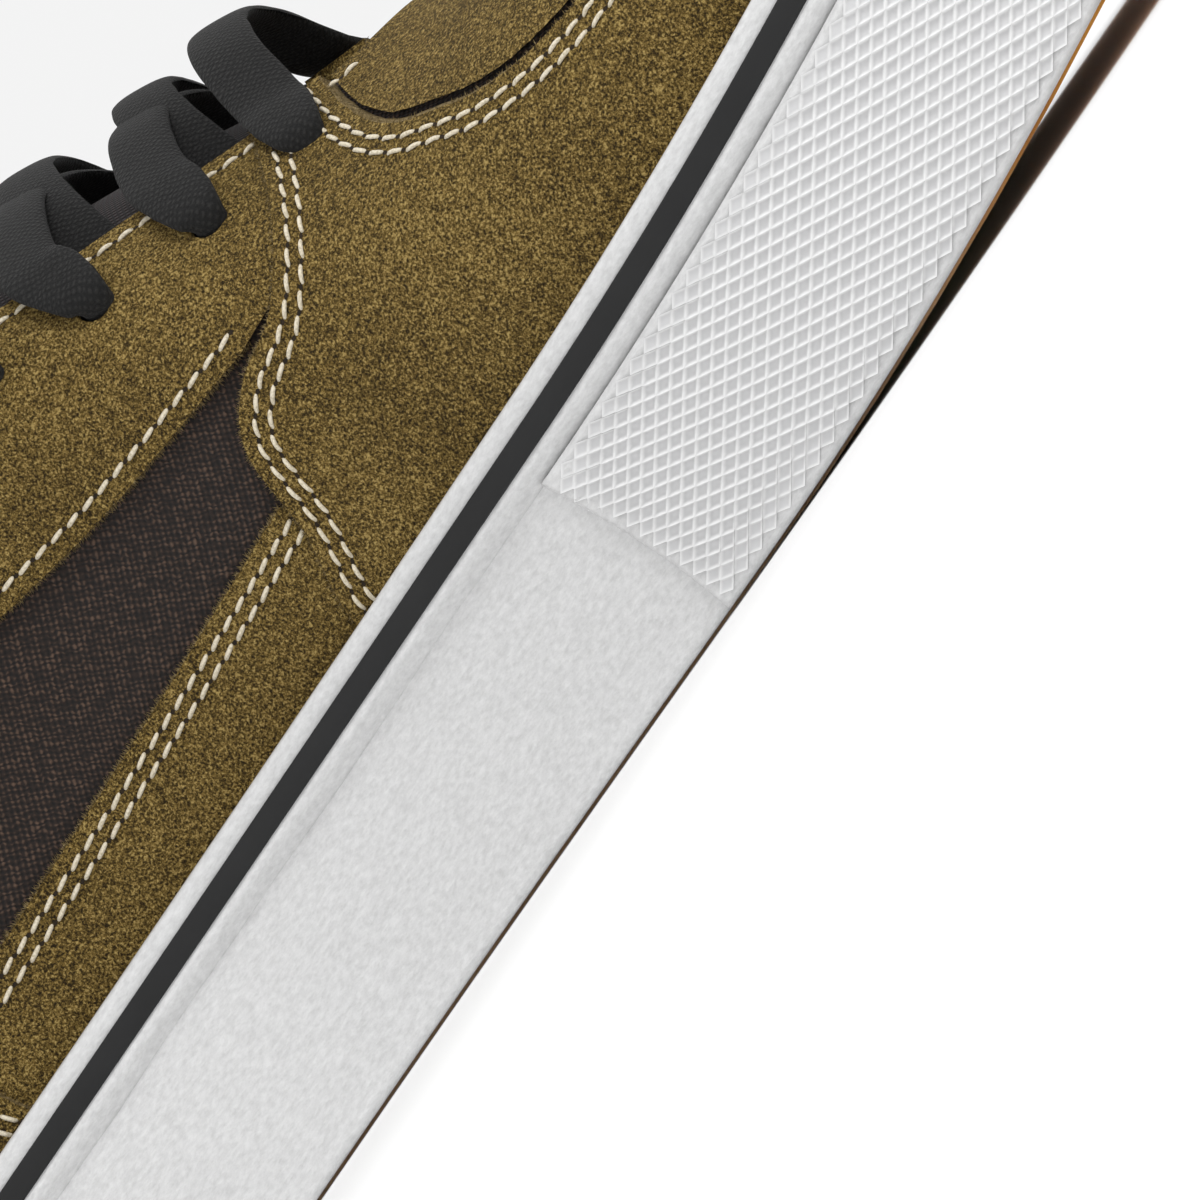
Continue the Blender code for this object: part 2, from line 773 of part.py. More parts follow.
def make_tongue():
    """Padded tongue that lies under the eyestays and stands above the collar."""
    cloth = material("tongue cloth", (0.06, 0.055, 0.055), 0.9)
    top = np.array([[tuple(point) for point in section] for section in tongue_sections()])
    along = np.gradient(top, axis=0)
    across = np.gradient(top, axis=1)
    normals = np.cross(across, along)
    normals /= np.linalg.norm(normals, axis=2)[:, :, None]
    thick = np.sin(pi * (0.16 + 0.68 * np.linspace(0, 1, top.shape[1]))) * TONGUE_THICKNESS
    return grid_solid("tongue", top, top - normals * thick[None, :, None], False, cloth)


def eyelet_places():
    """Places round the inner side of the foot for the eyelets, lowest first."""
    first, last = LACED_THROAT
    return [first + (last - first) * step / (EYELET_PAIRS - 1) for step in range(EYELET_PAIRS)]


def make_eyelet_cutter():
    """Round pins through the eyestays and the wall, one at each eyelet."""
    points = []
    faces = []
    size = EYELET_SIDES
    for place in eyelet_places():
        for turn in (place, 2 - place):
            spot, facing = wall_spot(turn, EYELET_SETBACK)
            side = facing.orthogonal().normalized()
            up = facing.cross(side)
            first = len(points)
            for level in (-2 * WALL, 2 * (GAP + OVERLAY)):
                for corner in range(size):
                    angle = 2 * pi * corner / size
                    arm = (side * cos(angle) + up * sin(angle)) * EYELET_HOLE / 2
                    points.append(spot + facing * level + arm)
            faces.append(tuple(first + corner for corner in reversed(range(size))))
            faces.append(tuple(first + size + corner for corner in range(size)))
            for corner in range(size):
                after = (corner + 1) % size
                low = first + corner
                faces.append((low, first + after, first + size + after, low + size))
    cutter = add_object("eyelet_cutter", points, faces, None, 0)
    cutter.hide_render = True
    cutter.display_type = "WIRE"
    return cutter


def lace_bar(name, inner_place, outer_place, surface, crown=LACE_CROWN):
    """Flat lace from one eyelet over the tongue to the other side, arched as the instep is."""
    face = GAP + OVERLAY
    rest = face + LACE_REST
    climb = [(EYELET_SETBACK, face + 3 * GAP), (EYELET_SETBACK * 0.5, rest), (0.0, rest)]
    path = arch(inner_place, outer_place, climb, crown, 4)
    heart = (path[0] + path[-1]) / 2 - Vector((0, 0, LACE_CROWN))
    low = []
    high = []
    for number, point in enumerate(path):
        before = path[max(number - 1, 0)]
        after = path[min(number + 1, len(path) - 1)]
        run = (after - before).normalized()
        along = Vector((1, 0, THROAT_FALL)).normalized()
        width = LACE_PINCH if number in (0, len(path) - 1) else LACE_WIDTH
        across = (along - run * along.dot(run)).normalized() * width / 2
        up = across.cross(run).normalized() * LACE_THICKNESS
        up = up if up.dot(point - heart) > 0 else -up
        low.append([tuple(point + across), tuple(point - across)])
        high.append([tuple(point + across + up), tuple(point - across + up)])
    return grid_solid(name, np.array(low), np.array(high), False, surface)


def make_laces():
    """A straight bar over the lowest pair of eyelets, then one joined crossing for each pair."""
    cord = material("black lace", (0.02, 0.02, 0.022), 0.85)
    places = eyelet_places()
    made = [lace_bar("lace_bar", places[0], places[0], cord)]
    for number in range(1, EYELET_PAIRS):
        here = places[number]
        below = here + (places[number - 1] - here) * CROSSING_REACH
        name = f"lace_crossing_{number}"
        one = lace_bar(name, here, below, cord)
        two = lace_bar(name + "_other", below, here, None, LACE_CROWN + LACE_THICKNESS * 0.6)
        cut(one, two, "UNION")
        made.append(one)
    return made


def clear_scene():
    """Empty the scene of what it opened with."""
    for item in list(bpy.data.objects):
        bpy.data.objects.remove(item, do_unlink=True)


clear_scene()
EYELET_CUTTER = make_eyelet_cutter()
SUEDE = material("khaki suede", (0.20, 0.14, 0.055), 0.95)
make_outsole()
make_core()
make_insole()
make_foxing()
make_tape()
make_stripe()
make_bumper()
cut(make_upper(), EYELET_CUTTER)
make_mudguard(SUEDE)
make_vamp(SUEDE)
for SIDE in ("inner", "outer"):
    make_eyestay(SIDE, SUEDE)
    make_side_band(SIDE, SUEDE)
make_counter(SUEDE)
make_collar_pad()
make_tongue()
make_laces()
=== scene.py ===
"""Left low-top skateboarding shoe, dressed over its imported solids.

Lengths are metres. The toe points along +X, the outer side of the foot is +Y, the tread stands
on Z = 0, and a place round the foot runs from 0 at the heel up the inner side to 1 at the toe
and down the outer side to 2.
"""

from math import cos, pi, radians, sin

import bpy
import numpy as np
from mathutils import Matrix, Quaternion, Vector, noise
from mathutils.bvhtree import BVHTree


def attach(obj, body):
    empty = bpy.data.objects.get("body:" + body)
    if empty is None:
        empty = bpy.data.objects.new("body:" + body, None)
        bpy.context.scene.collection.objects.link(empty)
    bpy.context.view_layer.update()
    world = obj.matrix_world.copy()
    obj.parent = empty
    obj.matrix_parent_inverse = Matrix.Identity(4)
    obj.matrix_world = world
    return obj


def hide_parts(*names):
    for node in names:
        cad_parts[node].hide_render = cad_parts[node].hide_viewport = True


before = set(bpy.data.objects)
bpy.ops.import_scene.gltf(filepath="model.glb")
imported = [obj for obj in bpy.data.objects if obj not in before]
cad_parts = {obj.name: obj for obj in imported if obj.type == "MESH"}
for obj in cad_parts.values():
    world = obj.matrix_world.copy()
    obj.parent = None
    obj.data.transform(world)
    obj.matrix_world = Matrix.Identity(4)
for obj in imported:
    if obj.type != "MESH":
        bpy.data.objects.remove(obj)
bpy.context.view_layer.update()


# The outsole: one moulding of natural gum rubber, vulcanised to the core. Its pockets are sunk
# between thin ribs, and a deeper amber is painted down inside them as painted shade and glow.
# The imported solid already has that shape, so it stays and takes the rubber.

def linear(hex_colour):
    """A colour written as sRGB hex, turned to the linear values that a shader takes."""
    shares = [int(hex_colour[start:start + 2], 16) / 255 for start in (1, 3, 5)]
    turned = [s / 12.92 if s <= 0.04045 else ((s + 0.055) / 1.055) ** 2.4 for s in shares]
    return (*turned, 1.0)


def add(tree, kind, settings, inputs, output=0):
    """Add a shader node with its settings, link or set its inputs and give back one output."""
    made = tree.nodes.new("ShaderNode" + kind)
    for name, value in settings.items():
        if name == "stops":
            ramp = made.color_ramp
            while len(ramp.elements) < len(value):
                ramp.elements.new(1.0)
            for element, (place, colour) in zip(ramp.elements, value):
                element.position = place
                element.color = linear(colour)
        else:
            setattr(made, name, value)
    for name, value in inputs.items():
        if isinstance(value, bpy.types.NodeSocket):
            tree.links.new(value, made.inputs[name])
        else:
            made.inputs[name].default_value = value
    return made.outputs[output]


def finish_named(name, roughness, **constants):
    """A new finish: its material, node tree and main shader, with constants on the shader."""
    made = bpy.data.materials.new(name)
    made.use_nodes = True
    shader = made.node_tree.nodes["Principled BSDF"]
    shader.inputs["Roughness"].default_value = roughness
    for socket, value in constants.items():
        shader.inputs[socket.replace("_", " ")].default_value = value
    return made, made.node_tree, shader


def coordinates(tree, kind="Object"):
    """Where a point of the piece lies, in the piece's own space or in its UV map."""
    return add(tree, "TexCoord", {}, {}, kind)


def speckle(tree, spot, scale, detail, **more):
    """Noise with this many cells to the metre."""
    return add(tree, "TexNoise", {}, {"Vector": spot, "Scale": scale, "Detail": detail, **more})


def combined(tree, operation, *values):
    """One sum on two or three values."""
    return add(tree, "Math", {"operation": operation}, dict(enumerate(values)))


def coloured(tree, shader, value, *stops):
    """Colour the finish by a ramp over a value."""
    tone = add(tree, "ValToRGB", {"stops": stops}, {0: value})
    tree.links.new(tone, shader.inputs["Base Color"])


def embossed(tree, shader, value, strength, distance, **more):
    """Raise the finish's fine relief by a value."""
    inputs = {"Height": value, "Strength": strength, "Distance": distance, **more}
    relief = add(tree, "Bump", {}, inputs)
    tree.links.new(relief, shader.inputs["Normal"])


def dress(node, finish):
    """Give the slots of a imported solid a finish."""
    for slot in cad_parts[node].material_slots:
        slot.material = finish


# Moulded gum rubber: satin, a little see-through, honey brown on the ribs; amber below is painted shade
gum_rubber, tree, shader = finish_named("moulded_gum_rubber", 0.42, IOR=1.52, Subsurface_Weight=0.18)
shader.inputs["Subsurface Radius"].default_value = (0.004, 0.002, 0.0006)
spot = coordinates(tree)
level = add(tree, "SeparateXYZ", {}, {0: spot}, "Z")
# Painted shade and glow: the colour turns deeper amber with height up into the pockets
painted_pocket_glow_mask = add(tree, "MapRange", {}, {0: level, 1: 0.0008, 2: 0.0030, 3: 0.0, 4: 1.0})
cloudy = speckle(tree, spot, 90.0, 3.0)
land = add(tree, "ValToRGB", {"stops": [(0.3, "#B98F63"), (0.7, "#CFA87E")]}, {0: cloudy})
painted_pocket_amber = add(tree, "ValToRGB", {"stops": [(0.3, "#B8741A"), (0.7, "#D9982F")]}, {0: cloudy})
mixed = add(tree, "Mix", {"data_type": "RGBA"}, {0: painted_pocket_glow_mask, 6: land, 7: painted_pocket_amber}, 2)
tree.links.new(mixed, shader.inputs["Base Color"])
fine = speckle(tree, spot, 2600.0, 2.0)
embossed(tree, shader, fine, 0.12, 0.0002)
dress("outsole", gum_rubber)


# The midsole core: a slab of cellular sponge rubber, die cut and glued inside the foxing. Only its
# edge could ever be seen, so the imported solid stays and takes the open-celled rubber.

# Sponge rubber: dull, off-white, pitted with cells about 0.6 mm across, painted darker in the pits as shade
sponge_rubber, tree, shader = finish_named("sponge_rubber", 0.85)
spot = coordinates(tree)
pit_relief_and_shade = add(tree, "TexVoronoi", {}, {"Vector": spot, "Scale": 1600.0}, "Distance")
# Painted shade: the ramp darkens the middle of each sunk pit
coloured(tree, shader, pit_relief_and_shade, (0.0, "#8E8A80"), (0.6, "#CFCBC0"))
embossed(tree, shader, pit_relief_and_shade, 0.5, 0.0003)
dress("midsole", sponge_rubber)


# The footbed: a removable insole of moulded foam under a dark woven cloth. It is cupped up a little
# round the heel and the sides, and its rim is rounded where the cloth is cut with the foam.

SOLE_LENGTH = 0.291
SPRING_START = 0.172
TOE_SPRING = 0.013
BALL_WIDTH = 0.1025
FOXING_LEAN = 0.06
FOXING_WALL = 0.0024
OUTSOLE_THICKNESS = 0.0055
CORE_THICKNESS = 0.0110
INSOLE_THICKNESS = 0.0040
SUEDE_THICKNESS = 0.0014
CLOTH_WALL = 0.0020
GAP = 0.0003
MERGE_DISTANCE = 1e-5
# Places up each side of the foot, and the finer ones that they are picked from
HALF = 240
FINE_PLACES = 4800

# Station along the sole, then how far the inner and the outer side lie from the axis
OUTLINE = (
    (0.000, 0.000, 0.000), (0.012, 0.135, 0.135), (0.050, 0.265, 0.265), (0.120, 0.358, 0.362),
    (0.210, 0.368, 0.380), (0.350, 0.318, 0.366), (0.460, 0.348, 0.398), (0.560, 0.422, 0.448),
    (0.660, 0.497, 0.492), (0.735, 0.516, 0.486), (0.810, 0.502, 0.450), (0.885, 0.448, 0.372),
    (0.945, 0.358, 0.262), (0.985, 0.222, 0.122), (1.000, 0.052, -0.052),
)


def unit(rows):
    """The directions in an array, each made one long."""
    return rows / np.linalg.norm(rows, axis=-1, keepdims=True)


def run_of(line):
    """How far along a line each of its points lies."""
    return np.append(0.0, np.cumsum(np.linalg.norm(np.diff(line, axis=0), axis=1)))


def closed_curve(knots, values, period, places):
    """Values at the given places on one smooth closed curve through the rows."""
    knots = np.array(knots, dtype=float)
    values = np.array(values, dtype=float)
    count = len(knots)
    steps = np.append(knots[1:], knots[0] + period) - knots
    matrix = np.zeros((count, count))
    slopes = np.zeros_like(values)
    for row in range(count):
        after = (row + 1) % count
        matrix[row, row - 1] += steps[row - 1] / 6
        matrix[row, row] += (steps[row - 1] + steps[row]) / 3
        matrix[row, after] += steps[row] / 6
        ahead = (values[after] - values[row]) / steps[row]
        slopes[row] = ahead - (values[row] - values[row - 1]) / steps[row - 1]
    bends = np.linalg.solve(matrix, slopes)
    places = (np.asarray(places, dtype=float) - knots[0]) % period + knots[0]
    row = np.searchsorted(knots, places, side="right") - 1
    after = (row + 1) % count
    share = ((places - knots[row]) / steps[row])[:, None]
    rest = 1 - share
    bend = (rest ** 3 - rest) * bends[row] + (share ** 3 - share) * bends[after]
    return rest * values[row] + share * values[after] + bend * steps[row][:, None] ** 2 / 6


def sole_outline():
    """Points of the sole outline and the directions into it, HALF samples up each side."""
    inner = [((station - 0.5) * SOLE_LENGTH, -side * BALL_WIDTH) for station, side, _ in OUTLINE]
    outer = [((station - 0.5) * SOLE_LENGTH, side * BALL_WIDTH) for station, _, side in OUTLINE]
    corners = np.array(inner + outer[-2:0:-1])
    chords = np.linalg.norm(np.roll(corners, -1, 0) - corners, axis=1)
    knots = np.append(0.0, np.cumsum(chords)[:-1])
    places = np.linspace(0, chords.sum(), FINE_PLACES, endpoint=False)
    dense = closed_curve(knots, corners, chords.sum(), places)
    dense[:, 1] -= (dense[:, 1].max() + dense[:, 1].min()) / 2
    toe = int(dense[:, 0].argmax())
    points = []
    for half in (dense[: toe + 1], np.vstack((dense[toe:], dense[:1]))):
        run = run_of(half)
        for place in np.linspace(0, run[-1], HALF, endpoint=False):
            points.append((np.interp(place, run, half[:, 0]), np.interp(place, run, half[:, 1])))
    points = np.array(points)
    tangent = unit(np.roll(points, -2, 0) - np.roll(points, 2, 0))
    return points, np.column_stack((-tangent[:, 1], tangent[:, 0]))


RING, INWARD = sole_outline()


def sole_lift(x):
    """Height of the tread above the floor, flat and then rising to the toe."""
    ahead = np.maximum(0.0, np.asarray(x) + SOLE_LENGTH / 2 - SPRING_START)
    return TOE_SPRING * (ahead / (SOLE_LENGTH - SPRING_START)) ** 2


def side_point(place, inset, height):
    """A point of the side wall at a place round the foot."""
    spot = place * HALF
    low = int(spot // 1) % (2 * HALF)
    share = spot - spot // 1
    after = (low + 1) % (2 * HALF)
    ring = RING[low] * (1 - share) + RING[after] * share
    inward = INWARD[low] * (1 - share) + INWARD[after] * share
    x, y = ring + inward * (inset + FOXING_LEAN * height)
    return np.array((x, y, sole_lift(x) + height))


def lofted(name, grid, closed=False):
    """A quad sheet laid on a grid of places, with a UV map in metres along its runs and rows."""
    grid = np.array(grid, dtype=float)
    runs, rows = grid.shape[:2]
    bpy.ops.mesh.primitive_grid_add(x_subdivisions=runs - 1, y_subdivisions=rows - 1, size=1)
    made = bpy.context.object
    made.name = name
    made.data.name = name
    made.data.vertices.foreach_set("co", grid.transpose(1, 0, 2).ravel())
    step_along = np.linalg.norm(np.diff(grid, axis=0), axis=2).mean(axis=1)
    along = np.append(0.0, np.cumsum(step_along))
    step_up = np.linalg.norm(np.diff(grid, axis=1), axis=2)
    up = np.concatenate((np.zeros((runs, 1)), np.cumsum(step_up, axis=1)), axis=1)
    places = np.stack((np.broadcast_to(along[None, :], (rows, runs)), up.T), axis=2).reshape(-1, 2)
    corners = np.empty(len(made.data.loops), dtype=np.int32)
    made.data.loops.foreach_get("vertex_index", corners)
    made.data.uv_layers.active.data.foreach_set("uv", places[corners].ravel())
    made.data.update()
    if closed:
        bpy.ops.object.mode_set(mode="EDIT")
        bpy.ops.mesh.select_all(action="SELECT")
        bpy.ops.mesh.remove_doubles(threshold=MERGE_DISTANCE)
        bpy.ops.object.mode_set(mode="OBJECT")
    bpy.ops.object.shade_smooth()
    return made


def pick(*pieces):
    """Select these pieces alone, the first one active."""
    bpy.ops.object.select_all(action="DESELECT")
    for piece in pieces:
        piece.select_set(True)
    bpy.context.view_layer.objects.active = pieces[0]


def reshape(made, kind, **settings):
    """Add one modifier to a piece, set it and apply it."""
    pick(made)
    modifier = made.modifiers.new(kind.title(), kind)
    for name, value in settings.items():
        setattr(modifier, name, value)
    bpy.ops.object.modifier_apply(modifier=modifier.name)


def fit(made, finish, nodes):
    """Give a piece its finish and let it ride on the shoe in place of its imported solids."""
    if finish:
        made.data.materials.clear()
        made.data.materials.append(finish)
    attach(made, "root")
    if nodes:
        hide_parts(*nodes)


FEATHER = OUTSOLE_THICKNESS + CORE_THICKNESS + 2 * GAP
UPPER_INSET = FOXING_WALL + SUEDE_THICKNESS + 2 * GAP


def across_foot(inset, height, crown, columns, cup):
    """Rows of places from the inner to the outer side, one row at each sample of the sole."""
    rows = []
    for sample in range(1, HALF, 2):
        inner = side_point(sample / HALF, inset, height)
        outer = side_point(2 - sample / HALF, inset, height)
        row = []
        for column in range(columns + 1):
            share = 0.5 - 0.5 * cos(pi * column / columns)
            point = inner * (1 - share) + outer * share
            edge = abs(2 * share - 1)
            point[2] += crown * (1 - edge ** 2) + cup * edge ** 6
            row.append(point)
        rows.append(row)
    return np.array(rows)


def yarns(tree, spot, way, scale, distortion, detail, detail_scale=1.0):
    """Parallel yarns that run across one direction."""
    inputs = {"Vector": spot, "Scale": scale, "Distortion": distortion, "Detail": detail}
    return add(tree, "TexWave", {"bands_direction": way}, {**inputs, "Detail Scale": detail_scale}, 1)


def warp_and_weft(tree, spot, *settings):
    """The two sets of yarns of a plain weave."""
    return [yarns(tree, spot, way, *settings) for way in "XY"]


bed_inset = UPPER_INSET + CLOTH_WALL + GAP
bed_top = across_foot(bed_inset, FEATHER + INSOLE_THICKNESS - 0.0004, 0.0, 28, 0.0012)
footbed = lofted("footbed", bed_top)
reshape(footbed, "SOLIDIFY", thickness=INSOLE_THICKNESS - 0.0006, offset=-1.0)
reshape(footbed, "BEVEL", width=0.0007, segments=2, limit_method="ANGLE", angle_limit=radians(50))

# Footbed cloth: a dull near-black plain weave, about 1.1 threads to the millimetre
footbed_cloth, tree, shader = finish_named("footbed_cloth", 0.92, Sheen_Weight=0.25, Sheen_Roughness=0.6)
spot = coordinates(tree)
woven = combined(tree, "MULTIPLY", *warp_and_weft(tree, spot, 349.0, 0.4, 1.0))
coloured(tree, shader, woven, (0.0, "#17130F"), (0.8, "#3C342B"))
embossed(tree, shader, woven, 0.6, 0.0003)
fit(footbed, footbed_cloth, ["insole"])


# The foxing: a calendered strip of white rubber wrapped round the sole and vulcanised to it. Its
# face has a fine matt grain from the cloth it was rolled on and lies in slow waves, and its bottom
# edge is trimmed by hand, so it is not quite even.

FOXING_HEIGHT = 0.031
FOXING_RIM = 0.0004
TAPE_HEIGHT = 0.0070
WAVE_DEPTH = 0.00022
RIPPLE_DEPTH = 0.00005
CUT_DEPTH = 0.00018
BEAD_DEPTH = 0.00025


def wander(spot, pit_relief_and_shade, depth):
    """A smooth random offset at a place, with so many cells to the metre."""
    return noise.noise(Vector(spot) * pit_relief_and_shade) * depth


def held(value):
    """A share kept between 0 and 1."""
    return min(1.0, max(0.0, value))


def wrapped(name, section, relief):
    """A strip swept right round the foot. The section lists (inset, height) up the outside first."""
    grid = []
    for place in np.arange(2 * HALF + 1) / HALF:
        row = [side_point(place, inset - relief(place, inset, height), height) for inset, height in section]
        grid.append(row)
    return lofted(name, grid, closed=True)


def foxing_relief(place, inset, height):
    """Slow waves of the rolled rubber, and the uneven cut along its bottom edge."""
    if inset > 0.0012:
        return 0.0
    spot = side_point(place, 0.0, height)
    slow = wander(spot, 55, WAVE_DEPTH) + wander(spot, 210, RIPPLE_DEPTH)
    rise = held((height - FOXING_RIM) / 0.004)
    bead = BEAD_DEPTH * max(0.0, 1 - abs(height - 0.0012) / 0.0010)
    return slow * rise + bead + wander(spot, 420, CUT_DEPTH) * (1 - rise)


foxing_section = [(0.0007, FOXING_RIM), (0.0002, FOXING_RIM + 0.0002), (0.0, FOXING_RIM + 0.0006)]
foxing_section += [(0.0, height) for height in np.linspace(0.0016, FOXING_HEIGHT - 0.0012, 26)]
foxing_section += [(0.0002, FOXING_HEIGHT - 0.0004), (0.0008, FOXING_HEIGHT)]
foxing_section += [(FOXING_WALL, FOXING_HEIGHT), (FOXING_WALL, FOXING_RIM), (0.0007, FOXING_RIM)]
foxing = wrapped("foxing_strip", foxing_section, foxing_relief)

# Calendered white rubber: matt neutral white, with a fine cloth grain over slow swellings
white_rubber, tree, shader = finish_named("calendered_white_rubber", 0.50, IOR=1.50)
spot = coordinates(tree)
stretch = add(tree, "Mapping", {}, {"Vector": spot, "Scale": (0.45, 0.45, 1.0)})
grain = speckle(tree, stretch, 1900.0, 3.0, Roughness=0.7)
coloured(tree, shader, grain, (0.3, "#C1C1C1"), (0.7, "#D8D8D8"))
long_swell = add(tree, "Mapping", {}, {"Vector": spot, "Scale": (0.25, 0.25, 1.0)})
swell = speckle(tree, long_swell, 110.0, 2.0)
waves = add(tree, "Bump", {}, {"Strength": 0.07, "Distance": 0.0016, "Height": swell})
embossed(tree, shader, grain, 0.24, 0.0003, Normal=waves)
fit(foxing, white_rubber, ["foxing"])


# The top tape: a narrower white strip rolled on over the foxing's top edge, with a thin black
# rubber line pressed into it. Below the line the tape ends in a soft lip that runs into the foxing.

TAPE_THICKNESS = 0.0011
TAPE_WAVER = 0.00010
STRIPE_HEIGHT = 0.0029
STRIPE_LIP = 0.0020
tape_face = -GAP - TAPE_THICKNESS
stripe_top = FOXING_HEIGHT - STRIPE_LIP
stripe_bottom = stripe_top - STRIPE_HEIGHT
tape_bottom = FOXING_HEIGHT - TAPE_HEIGHT


def tape_relief(place, inset, height):
    """The slight waver of a strip laid on by hand."""
    if inset > -0.0002:
        return 0.0
    spot = side_point(place, 0.0, height)
    return wander(spot, 120, TAPE_WAVER)


tape_section = [(0.0004, tape_bottom - 0.0012), (-0.0002, tape_bottom - 0.0004)]
tape_section += [(-0.0008, tape_bottom + 0.0002), (-0.0012, tape_bottom + 0.0008)]
tape_section += [(tape_face, tape_bottom + 0.0014), (tape_face, stripe_bottom - 0.0003)]
tape_section += [(tape_face + 0.0002, stripe_bottom)]
tape_section += [(tape_face + 0.0002, stripe_top), (tape_face, stripe_top + 0.0003)]
tape_section += [(tape_face, FOXING_HEIGHT - 0.0005), (tape_face + 0.0002, FOXING_HEIGHT - 0.0001)]
tape_section += [(tape_face + 0.0006, FOXING_HEIGHT + 0.0001), (0.0006, FOXING_HEIGHT + 0.0002)]
tape_section += [(0.0006, tape_bottom), (0.0004, tape_bottom - 0.0012)]
top_tape = wrapped("white_tape", tape_section, tape_relief)
fit(top_tape, white_rubber, ["top_tape"])

stripe_face = tape_face - 0.00012
stripe_section = [(stripe_face + 0.0005, stripe_bottom + 0.0001)]
stripe_section += [(stripe_face + 0.0001, stripe_bottom + 0.0002)]
stripe_section += [(stripe_face, stripe_bottom + 0.0004), (stripe_face, stripe_top - 0.0004)]
stripe_section += [(stripe_face + 0.0001, stripe_top - 0.0002), (stripe_face + 0.0005, stripe_top - 0.0001)]
stripe_section += [(stripe_face + 0.0005, stripe_bottom + 0.0001)]
stripe = wrapped("black_line", stripe_section, tape_relief)

# Black line rubber: smooth and satin, charcoal rather than jet, with faint rolling marks
black_rubber, tree, shader = finish_named("black_line_rubber", 0.55, IOR=1.45)
spot = coordinates(tree)
cloud = speckle(tree, spot, 140.0, 4.0)
coloured(tree, shader, cloud, (0.3, "#070708"), (0.7, "#101011"))
embossed(tree, shader, cloud, 0.08, 0.0003)
fit(stripe, black_rubber, ["tape_stripe"])


# The toe bumper: a second strip of tough white rubber wrapped round the toe from ball to ball, hot
# pressed with a close lattice of long rhombs. The lattice fades out before the strip's plain
# margin, and the ends are pressed down smoothly on the foxing.

BUMPER_START = 0.166
BUMPER_THICKNESS = 0.0010
END_BOW = 0.0016
END_RAMP = 0.0011
RIM_RAMP = 0.0008
END_SUNK = 0.0006
LATTICE_SIDE = 0.00167
LATTICE_TILT = 30.0
LATTICE_DEPTH = 0.00058
LATTICE_SUNK = 0.00003
FLOOR_SHARE = 0.56
END_MARGIN = 0.0017
TOP_MARGIN = 0.0010
BOTTOM_MARGIN = 0.0012
bumper_top = tape_bottom - 0.0004
inner_x = RING[: HALF + 1, 0]
bumper_place = float(np.interp(BUMPER_START - SOLE_LENGTH / 2, inner_x, np.arange(HALF + 1))) / HALF
RING_RUN = run_of(np.vstack((RING, RING[:1])))


def run_at(place):
    """Distance round the outline from the heel to a place."""
    return float(np.interp(place * HALF, np.arange(2 * HALF + 1), RING_RUN))


def place_at(run):
    """Place round the foot at a distance along the outline."""
    return float(np.interp(run, RING_RUN, np.arange(2 * HALF + 1))) / HALF


def end_bow(height):
    """How far the pressed end of the bumper bows toward the toe at a height."""
    share = (bumper_top - height) / (bumper_top - FOXING_RIM)
    return END_BOW * sin(pi * held(share) * 0.72)


def from_end(run, height):
    """Distance round the foot from a point of the bumper to its nearer pressed end."""
    first = run_at(bumper_place) + end_bow(height)
    last = run_at(2 - bumper_place) - end_bow(height)
    return min(run - first, last - run)


def bumper_out(run, height):
    """How far the bumper's face stands off the foxing."""
    ends = held(from_end(run, height) / END_RAMP)
    rim = held((height - FOXING_RIM) / RIM_RAMP)
    return GAP + BUMPER_THICKNESS * (ends * (2 - ends)) * (0.45 + 0.55 * rim) - END_SUNK * (1 - ends)


bumper_first = run_at(bumper_place)
bumper_last = run_at(2 - bumper_place)
bumper_half = (bumper_last - bumper_first) / 2
near_end = np.concatenate((np.linspace(0, 0.006, 25)[:-1], np.linspace(0.006, bumper_half, 130)))
bumper_runs = np.concatenate((bumper_first + near_end[:-1], (bumper_last - near_end)[::-1]))
bumper_heights = np.concatenate(([FOXING_RIM + 0.0001], np.linspace(FOXING_RIM + 0.0008, bumper_top, 24)))
grid = []
for run in bumper_runs:
    grid.append([side_point(place_at(run), -bumper_out(run, height), height) for height in bumper_heights])
bumper = lofted("bumper_strip", grid)
reshape(bumper, "SOLIDIFY", thickness=0.0010, offset=-1.0)


long_step = LATTICE_SIDE * cos(radians(LATTICE_TILT))
short_step = LATTICE_SIDE * sin(radians(LATTICE_TILT))


def lattice_cell(run, height, fade):
    """Corners of one pressed rhomb: its ridge, its dished floor and the middle of that floor."""
    corners = []
    for scale, depth in ((1.0, LATTICE_DEPTH), (FLOOR_SHARE, 0.00010), (0.0, 0.00012)):
        arms = ((1, 0), (0, 1), (-1, 0), (0, -1)) if scale else ((0, 0),)
        for arm_run, arm_up in arms:
            at_run = run + arm_run * long_step * scale
            at_height = height + arm_up * short_step * scale
            out = bumper_out(at_run, at_height) + depth * fade - LATTICE_SUNK
            corners.append(side_point(place_at(at_run), -out, at_height))
    return corners


def faceted(name, points, faces):
    """A piece made of listed points and the faces between them."""
    mesh = bpy.data.meshes.new(name)
    mesh.from_pydata([tuple(point) for point in points], [], faces)
    mesh.shade_smooth()
    return placed(name, mesh)


def placed(name, data):
    """An object in the scene around its data."""
    made = bpy.data.objects.new(name, data)
    bpy.context.scene.collection.objects.link(made)
    return made


